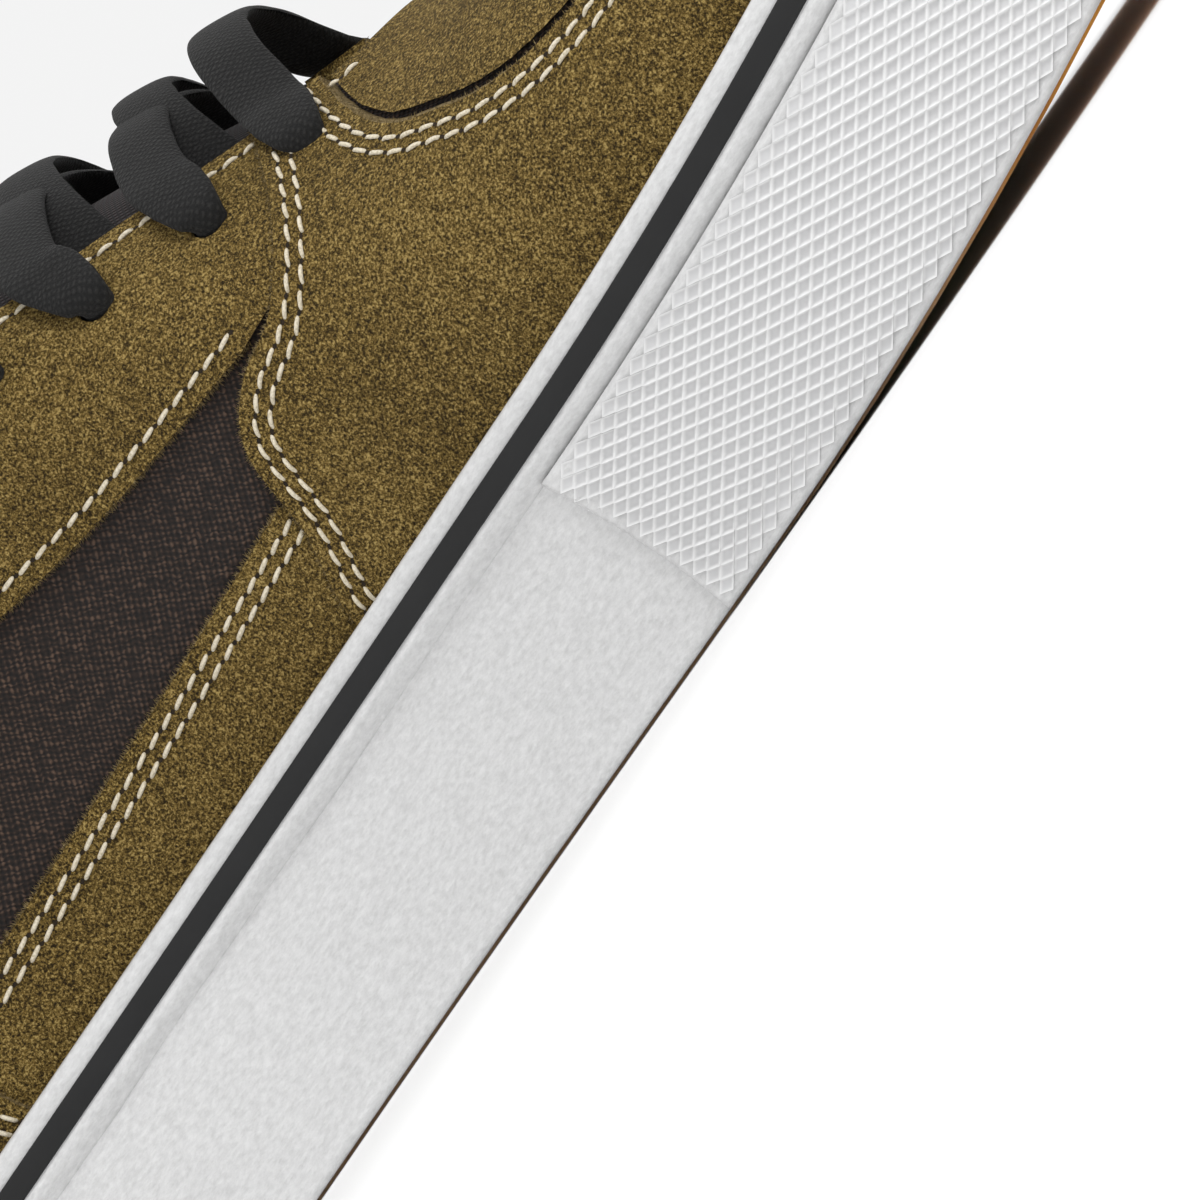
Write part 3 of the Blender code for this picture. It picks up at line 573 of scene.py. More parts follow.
cell_points = []
cell_faces = []
columns = int((bumper_last - bumper_first) / long_step)
levels = int((bumper_top - FOXING_RIM) / short_step)
for column in range(columns + 1):
    for level in range(levels + 1):
        if (column + level) % 2:
            continue
        run = bumper_first + column * long_step
        height = FOXING_RIM + 0.0010 + level * short_step
        end_room = from_end(run, height)
        top_room = bumper_top - height
        inside = min(end_room - END_MARGIN, top_room - TOP_MARGIN, height - FOXING_RIM - BOTTOM_MARGIN)
        if inside < 0:
            continue
        fade = 0.15 + inside / 0.0042 if end_room < top_room + 0.004 else 0.35 + inside / 0.0030
        first = len(cell_points)
        cell_points += lattice_cell(run, height, min(1.0, fade))
        for side in range(4):
            after = (side + 1) % 4
            cell_faces.append((first + side, first + after, first + 4 + after, first + 4 + side))
            cell_faces.append((first + 4 + side, first + 4 + after, first + 8))
lattice = faceted("bumper_lattice", cell_points, cell_faces)
ridge = lattice.data.attributes.new("ridge", "FLOAT", "POINT")
ridge.data.foreach_set("value", ([1.0] * 4 + [0.0] * 5) * (len(cell_points) // 9))

# Pressed white rubber: the same white, with painted highlight on the ridges and painted shade greying the
# floors of the cells
pressed_rubber, tree, shader = finish_named("pressed_white_rubber", 0.50, IOR=1.50)
spot = coordinates(tree)
grain = speckle(tree, spot, 1900.0, 3.0)
height = add(tree, "Attribute", {"attribute_name": "ridge"}, {}, "Fac")
grain_and_painted_ridge_light = combined(tree, "MULTIPLY_ADD", grain, 0.25, height)
# Painted light: ridges lit bright and cell floors greyed as shade, whatever the lamps do
coloured(tree, shader, grain_and_painted_ridge_light, (0.05, "#CACACB"), (0.45, "#D4D4D4"), (1.0, "#E6E6E6"))
fit(lattice, pressed_rubber, ())
fit(bumper, white_rubber, ["toe_bumper"])


# The quarters: the hollow cloth body of the upper, sewn from a firm dark plain weave with its lining
# behind it and lasted under the foot. It shows between the suede pieces on both sides.

HEEL_HEIGHT = 0.082
INSTEP_HEIGHT = 0.096

# Place round the foot, station, inner side, outer side, height, slope of the wall in degrees, and
# the reach of the lower and the upper curve. The collar comes first, then the throat.
COLLAR = (
    (0.000, 0.048, 0.000, 0.000, 1.000, 68.0, 0.46, 0.34),
    (0.085, 0.064, 0.168, 0.168, 0.985, 70.0, 0.46, 0.34),
    (0.170, 0.125, 0.278, 0.282, 0.905, 74.0, 0.44, 0.32),
    (0.265, 0.235, 0.312, 0.322, 0.812, 76.0, 0.40, 0.30),
    (0.350, 0.330, 0.296, 0.314, 0.880, 73.0, 0.40, 0.30),
)
THROAT = (
    (0.415, 0.395, 0.268, 0.272, 0.965, 62.0, 0.42, 0.34),
    (0.470, 0.450, 0.232, 0.230, 0.905, 50.0, 0.44, 0.38),
    (0.530, 0.525, 0.196, 0.186, 0.806, 42.0, 0.46, 0.40),
    (0.600, 0.610, 0.158, 0.138, 0.704, 34.0, 0.50, 0.44),
    (0.680, 0.655, 0.118, 0.084, 0.664, 27.0, 0.52, 0.46),
    (0.790, 0.668, 0.082, 0.028, 0.652, 19.0, 0.54, 0.46),
    (0.900, 0.671, 0.052, -0.008, 0.649, 14.0, 0.50, 0.46),
    (1.000, 0.672, 0.022, -0.022, 0.648, 12.0, 0.48, 0.46),
)
WALL_STEPS = 36


def top_line(places):
    """Top edge of the upper, its wall slope and the reach of its curves."""
    knots = []
    values = []
    for rows, tall in ((COLLAR, HEEL_HEIGHT), (THROAT, INSTEP_HEIGHT)):
        for place, station, inner, outer, high, *rest in rows:
            line = ((station - 0.5) * SOLE_LENGTH, high * tall, *rest)
            knots.append(place)
            values.append((line[0], -inner * BALL_WIDTH, *line[1:]))
            if 0 < place < 1:
                knots.append(2 - place)
                values.append((line[0], outer * BALL_WIDTH, *line[1:]))
    order = np.argsort(knots)
    return closed_curve(np.array(knots)[order], np.array(values)[order], 2.0, places)


def foot_wall():
    """Outside of the cloth wall, from the feather edge up to the top line, all round."""
    places = np.arange(2 * HALF) / HALF
    line = top_line(places)
    top = line[:, :3]
    slope = np.radians(line[:, 3])
    edge = np.array([side_point(place, UPPER_INSET, FEATHER) for place in places])
    base = np.array([side_point(place, UPPER_INSET, FOXING_HEIGHT) for place in places])
    climb = unit(base - edge)
    span = top - base
    reach = np.linalg.norm(span, axis=1)
    level = unit(span * (1, 1, 0))
    arrive = level * np.cos(slope)[:, None] + np.array((0, 0, 1)) * np.sin(slope)[:, None]
    low = base + climb * (reach * line[:, 4] * (span[:, 2] / reach) ** 0.5)[:, None]
    high = top - arrive * (reach * line[:, 5])[:, None]
    rows = [edge, (edge + base) / 2, base]
    for step in range(1, WALL_STEPS + 1):
        share = step / WALL_STEPS
        rest = 1 - share
        curve = base * rest ** 3 + low * 3 * rest ** 2 * share
        rows.append(curve + high * 3 * rest * share ** 2 + top * share ** 3)
    return np.array(rows).transpose(1, 0, 2)


def facing_of(grid):
    """Outward directions at each place of a grid that runs right round the foot."""
    return unit(np.cross(np.roll(grid, -1, 0) - np.roll(grid, 1, 0), np.gradient(grid, axis=1)))


def round_again(grid):
    """The grid with its first run again at its end, which closes the loop."""
    return np.concatenate((grid, grid[:1]))


def surface_of(piece):
    """A piece's surface, to find the nearest place on it."""
    corners = [vertex.co.copy() for vertex in piece.data.vertices]
    return BVHTree.FromPolygons(corners, [tuple(face.vertices) for face in piece.data.polygons])


WALL = foot_wall()
FACING = facing_of(WALL)
quarters = lofted("quarter_cloth", round_again(WALL), closed=True)
cloth_surface = surface_of(quarters)
reshape(quarters, "SOLIDIFY", thickness=CLOTH_WALL, offset=-1.0)

# Quarter cloth: dry dark-brown plain weave of slubby yarn, drawn at 0.95 mm so that it shows
quarter_cloth, tree, shader = finish_named(
    "quarter_plain_weave", 0.95, Sheen_Weight=0.06, Sheen_Roughness=0.5)
flat = coordinates(tree, "UV")
slub = speckle(tree, flat, 700.0, 2.0)
both_ways = warp_and_weft(tree, flat, 330.0, 3.0, 2.0, 3.0)
over = combined(tree, "MULTIPLY", *both_ways)
under = combined(tree, "MULTIPLY", *(combined(tree, "SUBTRACT", 1.0, way) for way in both_ways))
woven = combined(tree, "ADD", over, under)
lumpy = combined(tree, "MULTIPLY", woven, slub)
coloured(tree, shader, lumpy, (0.04, "#0A0605"), (0.30, "#241913"), (0.62, "#594538"))
embossed(tree, shader, lumpy, 0.8, 0.0004)
fit(quarters, quarter_cloth, ["upper"])


# The suede pieces: mudguard, vamp, eyestays, side bands and heel counter, clicked from split hide
# 1.4 mm thick. Their edges are left raw, so the paler, ragged middle of the hide shows. The
# mudguard is sewn on last, over the others.

KNIFE_STEP = 0.0006
RAGGED = 0.00010
MIDDLE_LAP = 0.001

# Side views of the seams. Station along the sole, then height as a share of the instep's
VAMP_EDGE = (
    (0.474, 0.180), (0.482, 0.330), (0.500, 0.430), (0.513, 0.530), (0.534, 0.575), (0.566, 0.600),
    (0.596, 0.690), (0.612, 0.900),
)
GUARD_EDGE = (
    (0.628, 0.900), (0.632, 0.650), (0.660, 0.560), (0.700, 0.512), (0.760, 0.498), (0.850, 0.520),
    (0.930, 0.560), (1.060, 0.600),
)
EYESTAY_EDGE = (
    (0.545, 0.588), (0.500, 0.602), (0.455, 0.620), (0.400, 0.655), (0.350, 0.705), (0.310, 0.800),
)
BAND_EDGE = (
    (0.5015, 0.468), (0.400, 0.460), (0.300, 0.455), (0.244, 0.455),
)
COUNTER_EDGE = (
    (0.262, 0.180), (0.250, 0.400), (0.215, 0.560), (0.160, 0.680), (0.130, 0.900),
)


def smooth_line(points, steps_between):
    """A smooth line through points, with a number of steps between each two of them."""
    ends = [2 * points[0] - points[1], *points, 2 * points[-1] - points[-2]]
    line = []
    for a, b, c, d in zip(ends, ends[1:], ends[2:], ends[3:]):
        steps = steps_between(b, c)
        for step in range(steps):
            t = step / steps
            point = 2 * b + (c - a) * t
            point += (2 * a - 5 * b + 4 * c - d) * t ** 2
            point += (3 * b - a - 3 * c + d) * t ** 3
            line.append(0.5 * point)
    line.append(points[-1])
    return line


def cut_line(rows, move=(0.0, 0.0)):
    """A seam in metres as one smooth knife line, a little ragged as raw suede is."""
    knots = []
    for station, share in rows:
        knots.append(np.array(((station - 0.5) * SOLE_LENGTH, share * INSTEP_HEIGHT)) + move)
    line = smooth_line(knots, lambda b, c: max(2, int(np.linalg.norm(c - b) / KNIFE_STEP)))
    for number, (x, z) in enumerate(line[:-1]):
        line[number] = line[number] + RAGGED * noise.noise(Vector((x * 900, z * 900, 3.0)))
    return [tuple(point) for point in line]


def side_block(name, corners, sides):
    """A block right across the shoe, or one half of it, with the side view that the corners give."""
    low = -MIDDLE_LAP if sides == "outer" else -BALL_WIDTH
    high = MIDDLE_LAP if sides == "inner" else BALL_WIDTH
    bpy.ops.mesh.primitive_circle_add(vertices=len(corners), fill_type="NGON")
    block = bpy.context.object
    block.name = name
    for vertex, (x, z) in zip(block.data.vertices, corners):
        vertex.co = (x, low, z)
    bpy.ops.object.mode_set(mode="EDIT")
    bpy.ops.mesh.select_all(action="SELECT")
    bpy.ops.mesh.extrude_region_move(TRANSFORM_OT_translate={"value": (0, high - low, 0)})
    bpy.ops.mesh.select_all(action="SELECT")
    bpy.ops.mesh.normals_make_consistent(inside=False)
    bpy.ops.object.mode_set(mode="OBJECT")
    block.data.materials.append(raw_suede)
    return block


# Suede nap: split hide brushed to a short velvet, khaki with darker roots and paler tips; the
# fibres stand in tufts about 0.3 mm apart
khaki_suede, tree, shader = finish_named("brushed_khaki_suede", 0.95, Sheen_Weight=0.12, Sheen_Roughness=0.5)
shader.inputs["Sheen Tint"].default_value = linear("#C9B57E")
shader.inputs["Specular IOR Level"].default_value = 0.15
spot = coordinates(tree)
tufts = speckle(tree, spot, 3300.0, 3.0, Roughness=0.7, Distortion=0.4)
clumps = speckle(tree, spot, 1100.0, 2.0, Roughness=0.5)
patches = speckle(tree, spot, 45.0, 3.0, Roughness=0.55)
fibres = combined(tree, "MULTIPLY_ADD", clumps, 0.14, tufts)
shaded = combined(tree, "MULTIPLY_ADD", patches, 0.10, fibres)
coloured(tree, shader, shaded, (0.50, "#22190B"), (0.58, "#54431F"), (0.66, "#7D6533"), (0.77, "#BCA263"))
embossed(tree, shader, fibres, 1.0, 0.0007)

# Raw suede edge: the loose fibres at the middle of the hide, lighter and rougher than its face
raw_suede, tree, shader = finish_named("raw_suede_edge", 1.0)
spot = coordinates(tree)
frayed = speckle(tree, spot, 1900.0, 4.0, Roughness=0.8)
coloured(tree, shader, frayed, (0.3, "#3A2F1B"), (0.5, "#8A7548"), (0.7, "#C0AA7C"))
embossed(tree, shader, frayed, 1.0, 0.0006)

# Pins that punch the eyelets, through suede and cloth together
EYELET_PAIRS = 5
EYELET_HOLE = 0.0045
EYELET_SETBACK = 0.0085
PIN_LENGTH = 0.012
LACED_THROAT = (0.598, 0.440)
laced_run = LACED_THROAT[1] - LACED_THROAT[0]
eyelet_places = [LACED_THROAT[0] + laced_run * pair / (EYELET_PAIRS - 1) for pair in range(EYELET_PAIRS)]


def between(place, run, rows):
    """The vector at one place along a run of them."""
    return Vector([np.interp(place, run, rows[:, axis]) for axis in range(3)])


def wall_spot(place, depth):
    """Point of the cloth wall a set distance down from the top line, and its outward direction."""
    spot = place * HALF % (2 * HALF)
    low = int(spot)
    share = spot - low
    after = (low + 1) % (2 * HALF)
    column = (WALL[low] * (1 - share) + WALL[after] * share)[::-1]
    outward = (FACING[low] * (1 - share) + FACING[after] * share)[::-1]
    fall = run_of(column)
    return between(depth, fall, column), between(depth, fall, outward).normalized()


punches = []
for place in eyelet_places:
    for turn in (place, 2 - place):
        point, out = wall_spot(turn, EYELET_SETBACK)
        turned = out.to_track_quat("Z", "Y").to_euler()
        pin = {"radius": EYELET_HOLE / 2, "depth": PIN_LENGTH, "location": point, "rotation": turned}
        bpy.ops.mesh.primitive_cylinder_add(vertices=20, **pin)
        bpy.ops.object.transform_apply(location=True, rotation=True, scale=True)
        bpy.context.object.data.materials.append(raw_suede)
        punches.append(bpy.context.object)
pick(*punches)
bpy.ops.object.join()
punch = bpy.context.object
reshape(quarters, "BOOLEAN", object=punch, operation="DIFFERENCE", solver="EXACT")


def suede_piece(name, corners, sides, lift_off, node, punched=False):
    """One suede piece: a skin over the cloth wall, trimmed to its side view, with raw edges."""
    runs = {"both": slice(None), "inner": slice(HALF + 1), "outer": slice(HALF, None)}[sides]
    skin = round_again(WALL + FACING * lift_off)
    piece = lofted(name, skin[runs], closed=sides == "both")
    reshape(piece, "SOLIDIFY", thickness=lift_off - 0.0001, offset=-1.0)
    piece.data.materials.append(khaki_suede)
    block = side_block(name + "_trim", corners, sides)
    keep_slots = {"solver": "EXACT", "material_mode": "TRANSFER"}
    if punched:
        reshape(block, "BOOLEAN", object=punch, operation="DIFFERENCE", **keep_slots)
    reshape(piece, "BOOLEAN", object=block, operation="INTERSECT", **keep_slots)
    bpy.data.objects.remove(block, do_unlink=True)
    pick(piece)
    bpy.ops.object.shade_smooth_by_angle(angle=radians(38))
    fit(piece, None, [node])
    return piece


GUARD_LIFT = GAP + SUEDE_THICKNESS + 0.0002
UNDER_LIFT = 0.0011
TUCKED_UNDER = 0.0040
SEAM_GAP = 2 * GAP
OVER_ALL = 2 * INSTEP_HEIGHT
guard_line = cut_line(VAMP_EDGE) + cut_line(GUARD_EDGE)
guard_corners = guard_line + [(SOLE_LENGTH, guard_line[-1][1]), (SOLE_LENGTH, 0.0), (guard_line[0][0], 0.0)]
mudguard = suede_piece("mudguard_suede", guard_corners, "both", GUARD_LIFT, "mudguard")

vamp_line = cut_line(GUARD_EDGE, (SEAM_GAP, SEAM_GAP))
vamp_corners = vamp_line + [(vamp_line[-1][0], OVER_ALL), (vamp_line[0][0], OVER_ALL)]
suede_piece("vamp_suede", vamp_corners, "both", UNDER_LIFT, "vamp")

stay_front = cut_line(VAMP_EDGE[5:], (TUCKED_UNDER, 0.0))
stay_lower = cut_line(EYESTAY_EDGE, (0.0, SEAM_GAP))
stay_corners = stay_front + [(stay_front[-1][0], OVER_ALL), (stay_lower[-1][0], OVER_ALL)] + stay_lower[:0:-1]
band_front = cut_line(VAMP_EDGE[:3], (TUCKED_UNDER, 0.0))
band_rear = cut_line(COUNTER_EDGE[:2], (-TUCKED_UNDER, 0.0))
band_corners = band_front + cut_line(BAND_EDGE) + band_rear[::-1]
eyestays = {}
bands = {}
for side in ("inner", "outer"):
    stay_name, band_name = f"eyestay_suede_{side}", f"side_band_suede_{side}"
    eyestays[side] = suede_piece(stay_name, stay_corners, side, UNDER_LIFT, f"eyestay_{side}", punched=True)
    bands[side] = suede_piece(band_name, band_corners, side, UNDER_LIFT, f"side_band_{side}")

counter_line = cut_line(COUNTER_EDGE)
counter_corners = counter_line + [(counter_line[-1][0], OVER_ALL), (-SOLE_LENGTH, OVER_ALL)]
counter_corners += [(-SOLE_LENGTH, 0.0), (counter_line[0][0], 0.0)]
counter = suede_piece("counter_suede", counter_corners, "both", GUARD_LIFT, "heel_counter")
bpy.data.objects.remove(punch, do_unlink=True)


# The stitching: waxed off-white polyester thread, lockstitched through suede and cloth. Twin rows run
# beside the mudguard, the bands and the counter and a single one beside the eyestays. Each stitch
# crosses about 2 mm of suede into a hole drawn as a flat disc of painted shadow; the cut edges fray a little.

STITCH_PITCH = 0.0027
STITCH_LENGTH = 0.0021
THREAD_RADIUS = 0.00024
ROW_SETBACKS = (0.0018, 0.0035)
STITCH_RINGS = 7
STITCH_RISE = 0.00034
STITCH_SUNK = 0.00016
HOLE_HALVES = (0.00034, 0.00024)
ROW_STEP = 0.0004
FEWEST_POINTS = 12
EDGE_RISE = 0.0007
EYELET_ROOM = 0.004
FIBRES_A_POINT = 4
FIBRE_RADIUS = 0.00010
FIBRE_REACH = (0.00030, 0.00085)


def cut_rims(piece, wanted):
    """Upper rims of a suede piece's cut edges where wanted, each as one ordered line of points."""
    mesh = piece.data
    edge_faces = {}
    for face in mesh.polygons:
        for key in face.edge_keys:
            edge_faces.setdefault(key, []).append(face)
    near = {}
    for key, faces in edge_faces.items():
        if len(faces) != 2 or faces[0].material_index == faces[1].material_index:
            continue
        ends = [mesh.vertices[number].co for number in key]
        middle = (ends[0] + ends[1]) / 2
        place, out, _, _ = cloth_surface.find_nearest(middle)
        if (middle - place).dot(out) < EDGE_RISE or not wanted(middle):
            continue
        near.setdefault(key[0], []).append(key[1])
        near.setdefault(key[1], []).append(key[0])
    lines = []
    while near:
        start = min(near, key=lambda number: (len(near[number]) != 1, number))
        line = [start]
        while near.get(line[-1]):
            after = near[line[-1]].pop()
            near[after].remove(line[-1])
            if not near[line[-1]]:
                del near[line[-1]]
            line.append(after)
        near.pop(line[-1], None)
        if len(line) > 8:
            lines.append(np.array([mesh.vertices[number].co for number in line]))
    return lines


def even(line):
    """A line of points at even row steps, with its small wobbles smoothed away."""
    for _ in range(3):
        line[1:-1] = (line[:-2] + 2 * line[1:-1] + line[2:]) / 4
    run = run_of(line)
    places = np.arange(0.0, run[-1], ROW_STEP)
    return np.stack([np.interp(places, run, line[:, axis]) for axis in range(3)], axis=1)


def over_wall(point, lift_off):
    """The place over the cloth wall nearest to a point, at a height off it, and its direction."""
    place, out, _, _ = cloth_surface.find_nearest(Vector(point))
    return place + out * lift_off, out


thread_points = []
thread_faces = []
hole_shadow_points = []
hole_shadow_faces = []
fray_points = []
fray_faces = []
loose = np.random.default_rng(11)


def sew(row, lift_off):
    """Stitches and the painted shadows of their needle holes along one row of points a row step apart."""
    places = [over_wall(point, lift_off) for point in row]
    run = np.arange(len(row)) * ROW_STEP
    spots, outs = (np.array(part) for part in zip(*places))

    def spot_frame(distance, ahead):
        """Place at a distance along the row, then its directions out, along and beside."""
        spot = between(distance, run, spots)
        out = between(distance, run, outs).normalized()
        step = between(distance + ahead, run, spots) - spot
        along = step.normalized() if step.length else Vector((1, 0, 0))
        return spot, out, along, out.cross(along).normalized()

    distance = ROW_STEP
    while distance + STITCH_LENGTH < run[-1]:
        first = len(thread_points)
        for ring in range(STITCH_RINGS):
            share = ring / (STITCH_RINGS - 1)
            spot, out, _, beside = spot_frame(distance + STITCH_LENGTH * share, 0.0002)
            rise = sin(pi * share) ** 0.6
            lift = out * (STITCH_RISE * rise - STITCH_SUNK)
            centre = spot + lift + beside * 0.00016 * (share - 0.5) * 2
            thick = THREAD_RADIUS * (0.72 + 0.28 * rise)
            for corner in range(6):
                turn = 2 * pi * corner / 6
                thread_points.append(centre + (beside * cos(turn) * 1.15 + out * sin(turn)) * thick)
        for low in range(first, first + (STITCH_RINGS - 1) * 6, 6):
            for corner in range(6):
                after = (corner + 1) % 6
                thread_faces.append((low + corner, low + 6 + corner, low + 6 + after, low + after))
        thread_faces.append(tuple(range(first, first + 6)))
        thread_faces.append(tuple(range(first + STITCH_RINGS * 6 - 1, first + STITCH_RINGS * 6 - 7, -1)))
        before = (STITCH_PITCH - STITCH_LENGTH) / 2
        spot, out, along, beside = spot_frame(distance - before, before)
        # Painted shadow: a flat dark disc laid just over the suede where the needle hole is
        start = len(hole_shadow_points)
        hole_shadow_points.append(spot + out * 0.00003)
        for corner in range(8):
            turn = 2 * pi * corner / 8
            long, wide = HOLE_HALVES
            hole_shadow_points.append(spot + out * 0.00005 + along * cos(turn) * long + beside * sin(turn) * wide)
            hole_shadow_faces.append((start, start + 1 + corner, start + 1 + (corner + 1) % 8))
        distance += STITCH_PITCH


def fray(rim, away, along, outs):
    """Short loose fibres that stand out of a raw edge, each a slim closed spike."""
    least, most = (-1.0, 0.0, -0.8, -0.4, FIBRE_REACH[0]), (1.0, 1.0, 0.8, 0.7, FIBRE_REACH[1])
    for spot, back, ahead, out in zip(rim, away, along, outs):
        for _ in range(FIBRES_A_POINT):
            slip, sink, lean, tilt, reach = loose.uniform(least, most)
            root = spot + ahead * slip * 0.0002 - out * sink * 0.0009
            way = unit(back + ahead * lean + out * tilt)
            side = unit(np.cross(way, out + ahead * 0.3))
            other = np.cross(way, side)
            first = len(fray_points)
            for turn in (0.0, 2 * pi / 3, 4 * pi / 3):
                rim_point = (side * cos(turn) + other * sin(turn)) * FIBRE_RADIUS
                fray_points.append(root - way * 0.0001 + rim_point)
            fray_points.append(root + way * reach)
            for face in ((0, 2, 1), (0, 1, 3), (1, 2, 3), (2, 0, 3)):
                fray_faces.append(tuple(first + corner for corner in face))


def sew_beside(piece, lift_off, setbacks, wanted):
    """Rows of stitches set in from a suede piece's cut edges, where there is room for them."""
    body = surface_of(piece)
    rims = [even(line) for line in cut_rims(piece, wanted)]
    if not rims:
        return
    all_rims = np.vstack(rims)
    for rim in rims:
        if len(rim) < FEWEST_POINTS:
            continue
        along = unit(np.gradient(rim, axis=0))
        outs = np.array([over_wall(point, 0.0)[1] for point in rim])
        beside = np.cross(outs, along)
        sure = 0
        for number in range(0, len(rim), max(1, len(rim) // 20)):
            left = body.find_nearest(Vector(rim[number] + beside[number] * 0.002))[3]
            right = body.find_nearest(Vector(rim[number] - beside[number] * 0.002))[3]
            sure += 1 if left < right else -1
        beside *= 1 if sure > 0 else -1
        fray(rim, -beside, along, outs)
        for setback in setbacks:
            row = rim + beside * setback
            room = np.array([np.linalg.norm(all_rims - point, axis=1).min() for point in row])
            start = None
            for number, fine in enumerate(np.append(room > setback * 0.86, False)):
                if fine and start is None:
                    start = number
                if not fine and start is not None:
                    if number - start > FEWEST_POINTS:
                        sew(even(row[start:number].copy()), lift_off)
                    start = None


def clear_of_eyelets(point):
    """Whether a point of an eyestay's rim lies away from the eyelets."""
    turns = [place if point.y < 0 else 2 - place for place in eyelet_places]
    return min((point - wall_spot(turn, EYELET_SETBACK)[0]).length for turn in turns) > EYELET_ROOM


shows = FOXING_HEIGHT + 0.0006
sew_beside(mudguard, GUARD_LIFT, ROW_SETBACKS, lambda p: p.z > shows + sole_lift(p.x))
for side in ("inner", "outer"):
    stay_edge = lambda p: p.x < 0.0135 and p.z < 0.080 and clear_of_eyelets(p)
    band_edge = lambda p: p.z > 0.0425 and -0.0735 < p.x < 0.0004
    sew_beside(eyestays[side], UNDER_LIFT, (0.0021,), stay_edge)
    sew_beside(bands[side], UNDER_LIFT, ROW_SETBACKS, band_edge)
sew_beside(counter, GUARD_LIFT, ROW_SETBACKS, lambda p: p.z > shows)
for turns in ((0.455, 0.655), (1.345, 1.545)):
    edge_row = np.array([wall_spot(place, 0.0024)[0] for place in np.linspace(*turns, 240)])
    sew(even(edge_row), UNDER_LIFT)

# Waxed thread: off-white, twisted, with a faint shine along the twist
waxed_thread, tree, shader = finish_named("waxed_polyester_thread", 0.55, Sheen_Weight=0.15)
spot = coordinates(tree)
twist = speckle(tree, spot, 3800.0, 2.0)
coloured(tree, shader, twist, (0.3, "#B5A98E"), (0.6, "#DDD3BD"))
embossed(tree, shader, twist, 0.5, 0.0002)

# Needle holes: a flat dark disc of painted shadow where each stitch pulls down into the suede
painted_hole_shadow, tree, shader = finish_named("painted_needle_hole_shadow", 1.0)
spot = coordinates(tree)
depth = speckle(tree, spot, 2400.0, 2.0)
coloured(tree, shader, depth, (0.3, "#120C05"), (0.7, "#2A1E0D"))

sewn = {
    "seam_thread": (thread_points, thread_faces, waxed_thread),
    "needle_hole_painted_shadows": (hole_shadow_points, hole_shadow_faces, painted_hole_shadow),
    "raw_edge_fibres": (fray_points, fray_faces, raw_suede),
}
for name, (points, faces, finish) in sewn.items():
    fit(faceted(name, points, faces), finish, ())


# The collar padding: soft foam under a dark knitted lining, sewn to the top of the quarters and
# rolled over their edge. It is fullest a little below the top and thins out toward the eyestays.

COLLAR_PAD = 0.0070
PAD_LEAST = 0.0012
PAD_DEPTH = 0.034
PAD_REACH = 0.375
# Over the edge: how far out from the wall's face, then how far above the top line
PAD_ROLL = (
    (-CLOTH_WALL - PAD_LEAST, 0.0016), (-CLOTH_WALL * 0.5, 0.0024), (0.0010, 0.0020), (0.0021, 0.0006),
)
# Down the outside and back under: how far below the top line, then how far out from the wall's face
PAD_LAP = ((0.0014, 0.0021), (0.0028, 0.0018), (0.0034, 0.0008), (0.0030, -CLOTH_WALL * 0.5))


def close_ends(made, sides, rounds):
    """Fill a tube's open ends, turn its faces outward and round it by subdivision."""
    bpy.ops.object.mode_set(mode="EDIT")
    bpy.ops.mesh.select_all(action="SELECT")
    bpy.ops.mesh.fill_holes(sides=sides)
    bpy.ops.mesh.select_all(action="SELECT")
    bpy.ops.mesh.normals_make_consistent(inside=False)
    bpy.ops.object.mode_set(mode="OBJECT")
    reshape(made, "SUBSURF", levels=rounds, render_levels=rounds)
    bpy.ops.object.shade_smooth()


pad_grid = []
for place in np.linspace(-PAD_REACH, PAD_REACH, 150):
    taper = max(0.0, cos(pi / 2 * place / (PAD_REACH + 0.02))) ** 0.5
    ring = []
    depth_full = PAD_DEPTH - 0.010 * abs(place) / PAD_REACH
    for step in range(15):
        share = step / 14
        point, out = wall_spot(place, depth_full * (1 - share) + 0.0004)
        swell = PAD_LEAST + (COLLAR_PAD - PAD_LEAST) * sin(pi * (0.06 + 0.80 * share)) * taper
        pucker = noise.noise(Vector((place * 26, share * 3.0, 5.0))) * 0.0004
        ring.append(point - out * (CLOTH_WALL + swell + pucker))
    crest, out = wall_spot(place, 0.0)
    lower, _ = wall_spot(place, 0.004)
    up = (crest - lower).normalized()
    ring += [crest + out * away + up * climb for away, climb in PAD_ROLL]
    for depth, away in (*PAD_LAP, (depth_full, -CLOTH_WALL - 0.0002)):
        point, out = wall_spot(place, depth)
        ring.append(point + out * away)
    ring.append(ring[0])
    pad_grid.append(ring[::-1])
collar = lofted("collar_pad", pad_grid, closed=True)
close_ends(collar, 40, 1)

# Lining knit: soft charcoal-brown spacer knit with open dimples 1.2 mm apart, painted darker inside as shade
lining_knit, tree, shader = finish_named("lining_spacer_knit", 0.95, Sheen_Weight=0.10, Sheen_Roughness=0.5)
flat = coordinates(tree, "UV")
knit = {"Vector": flat, "Scale": 800.0, "Randomness": 0.25}
pit_relief_and_shade = add(tree, "TexVoronoi", {"feature": "SMOOTH_F1"}, knit, "Distance")
# Painted shade: the ramp darkens the middle of each sunk dimple
coloured(tree, shader, pit_relief_and_shade, (0.1, "#100D0D"), (0.6, "#2A2322"))
embossed(tree, shader, pit_relief_and_shade, 0.7, 0.0005)
fit(collar, lining_knit, ["collar_padding"])


# The tongue: foam between two layers of dark cloth, turned and edge sewn. It lies under the
# eyestays, follows the instep and stands up above the collar with a rounded free end.

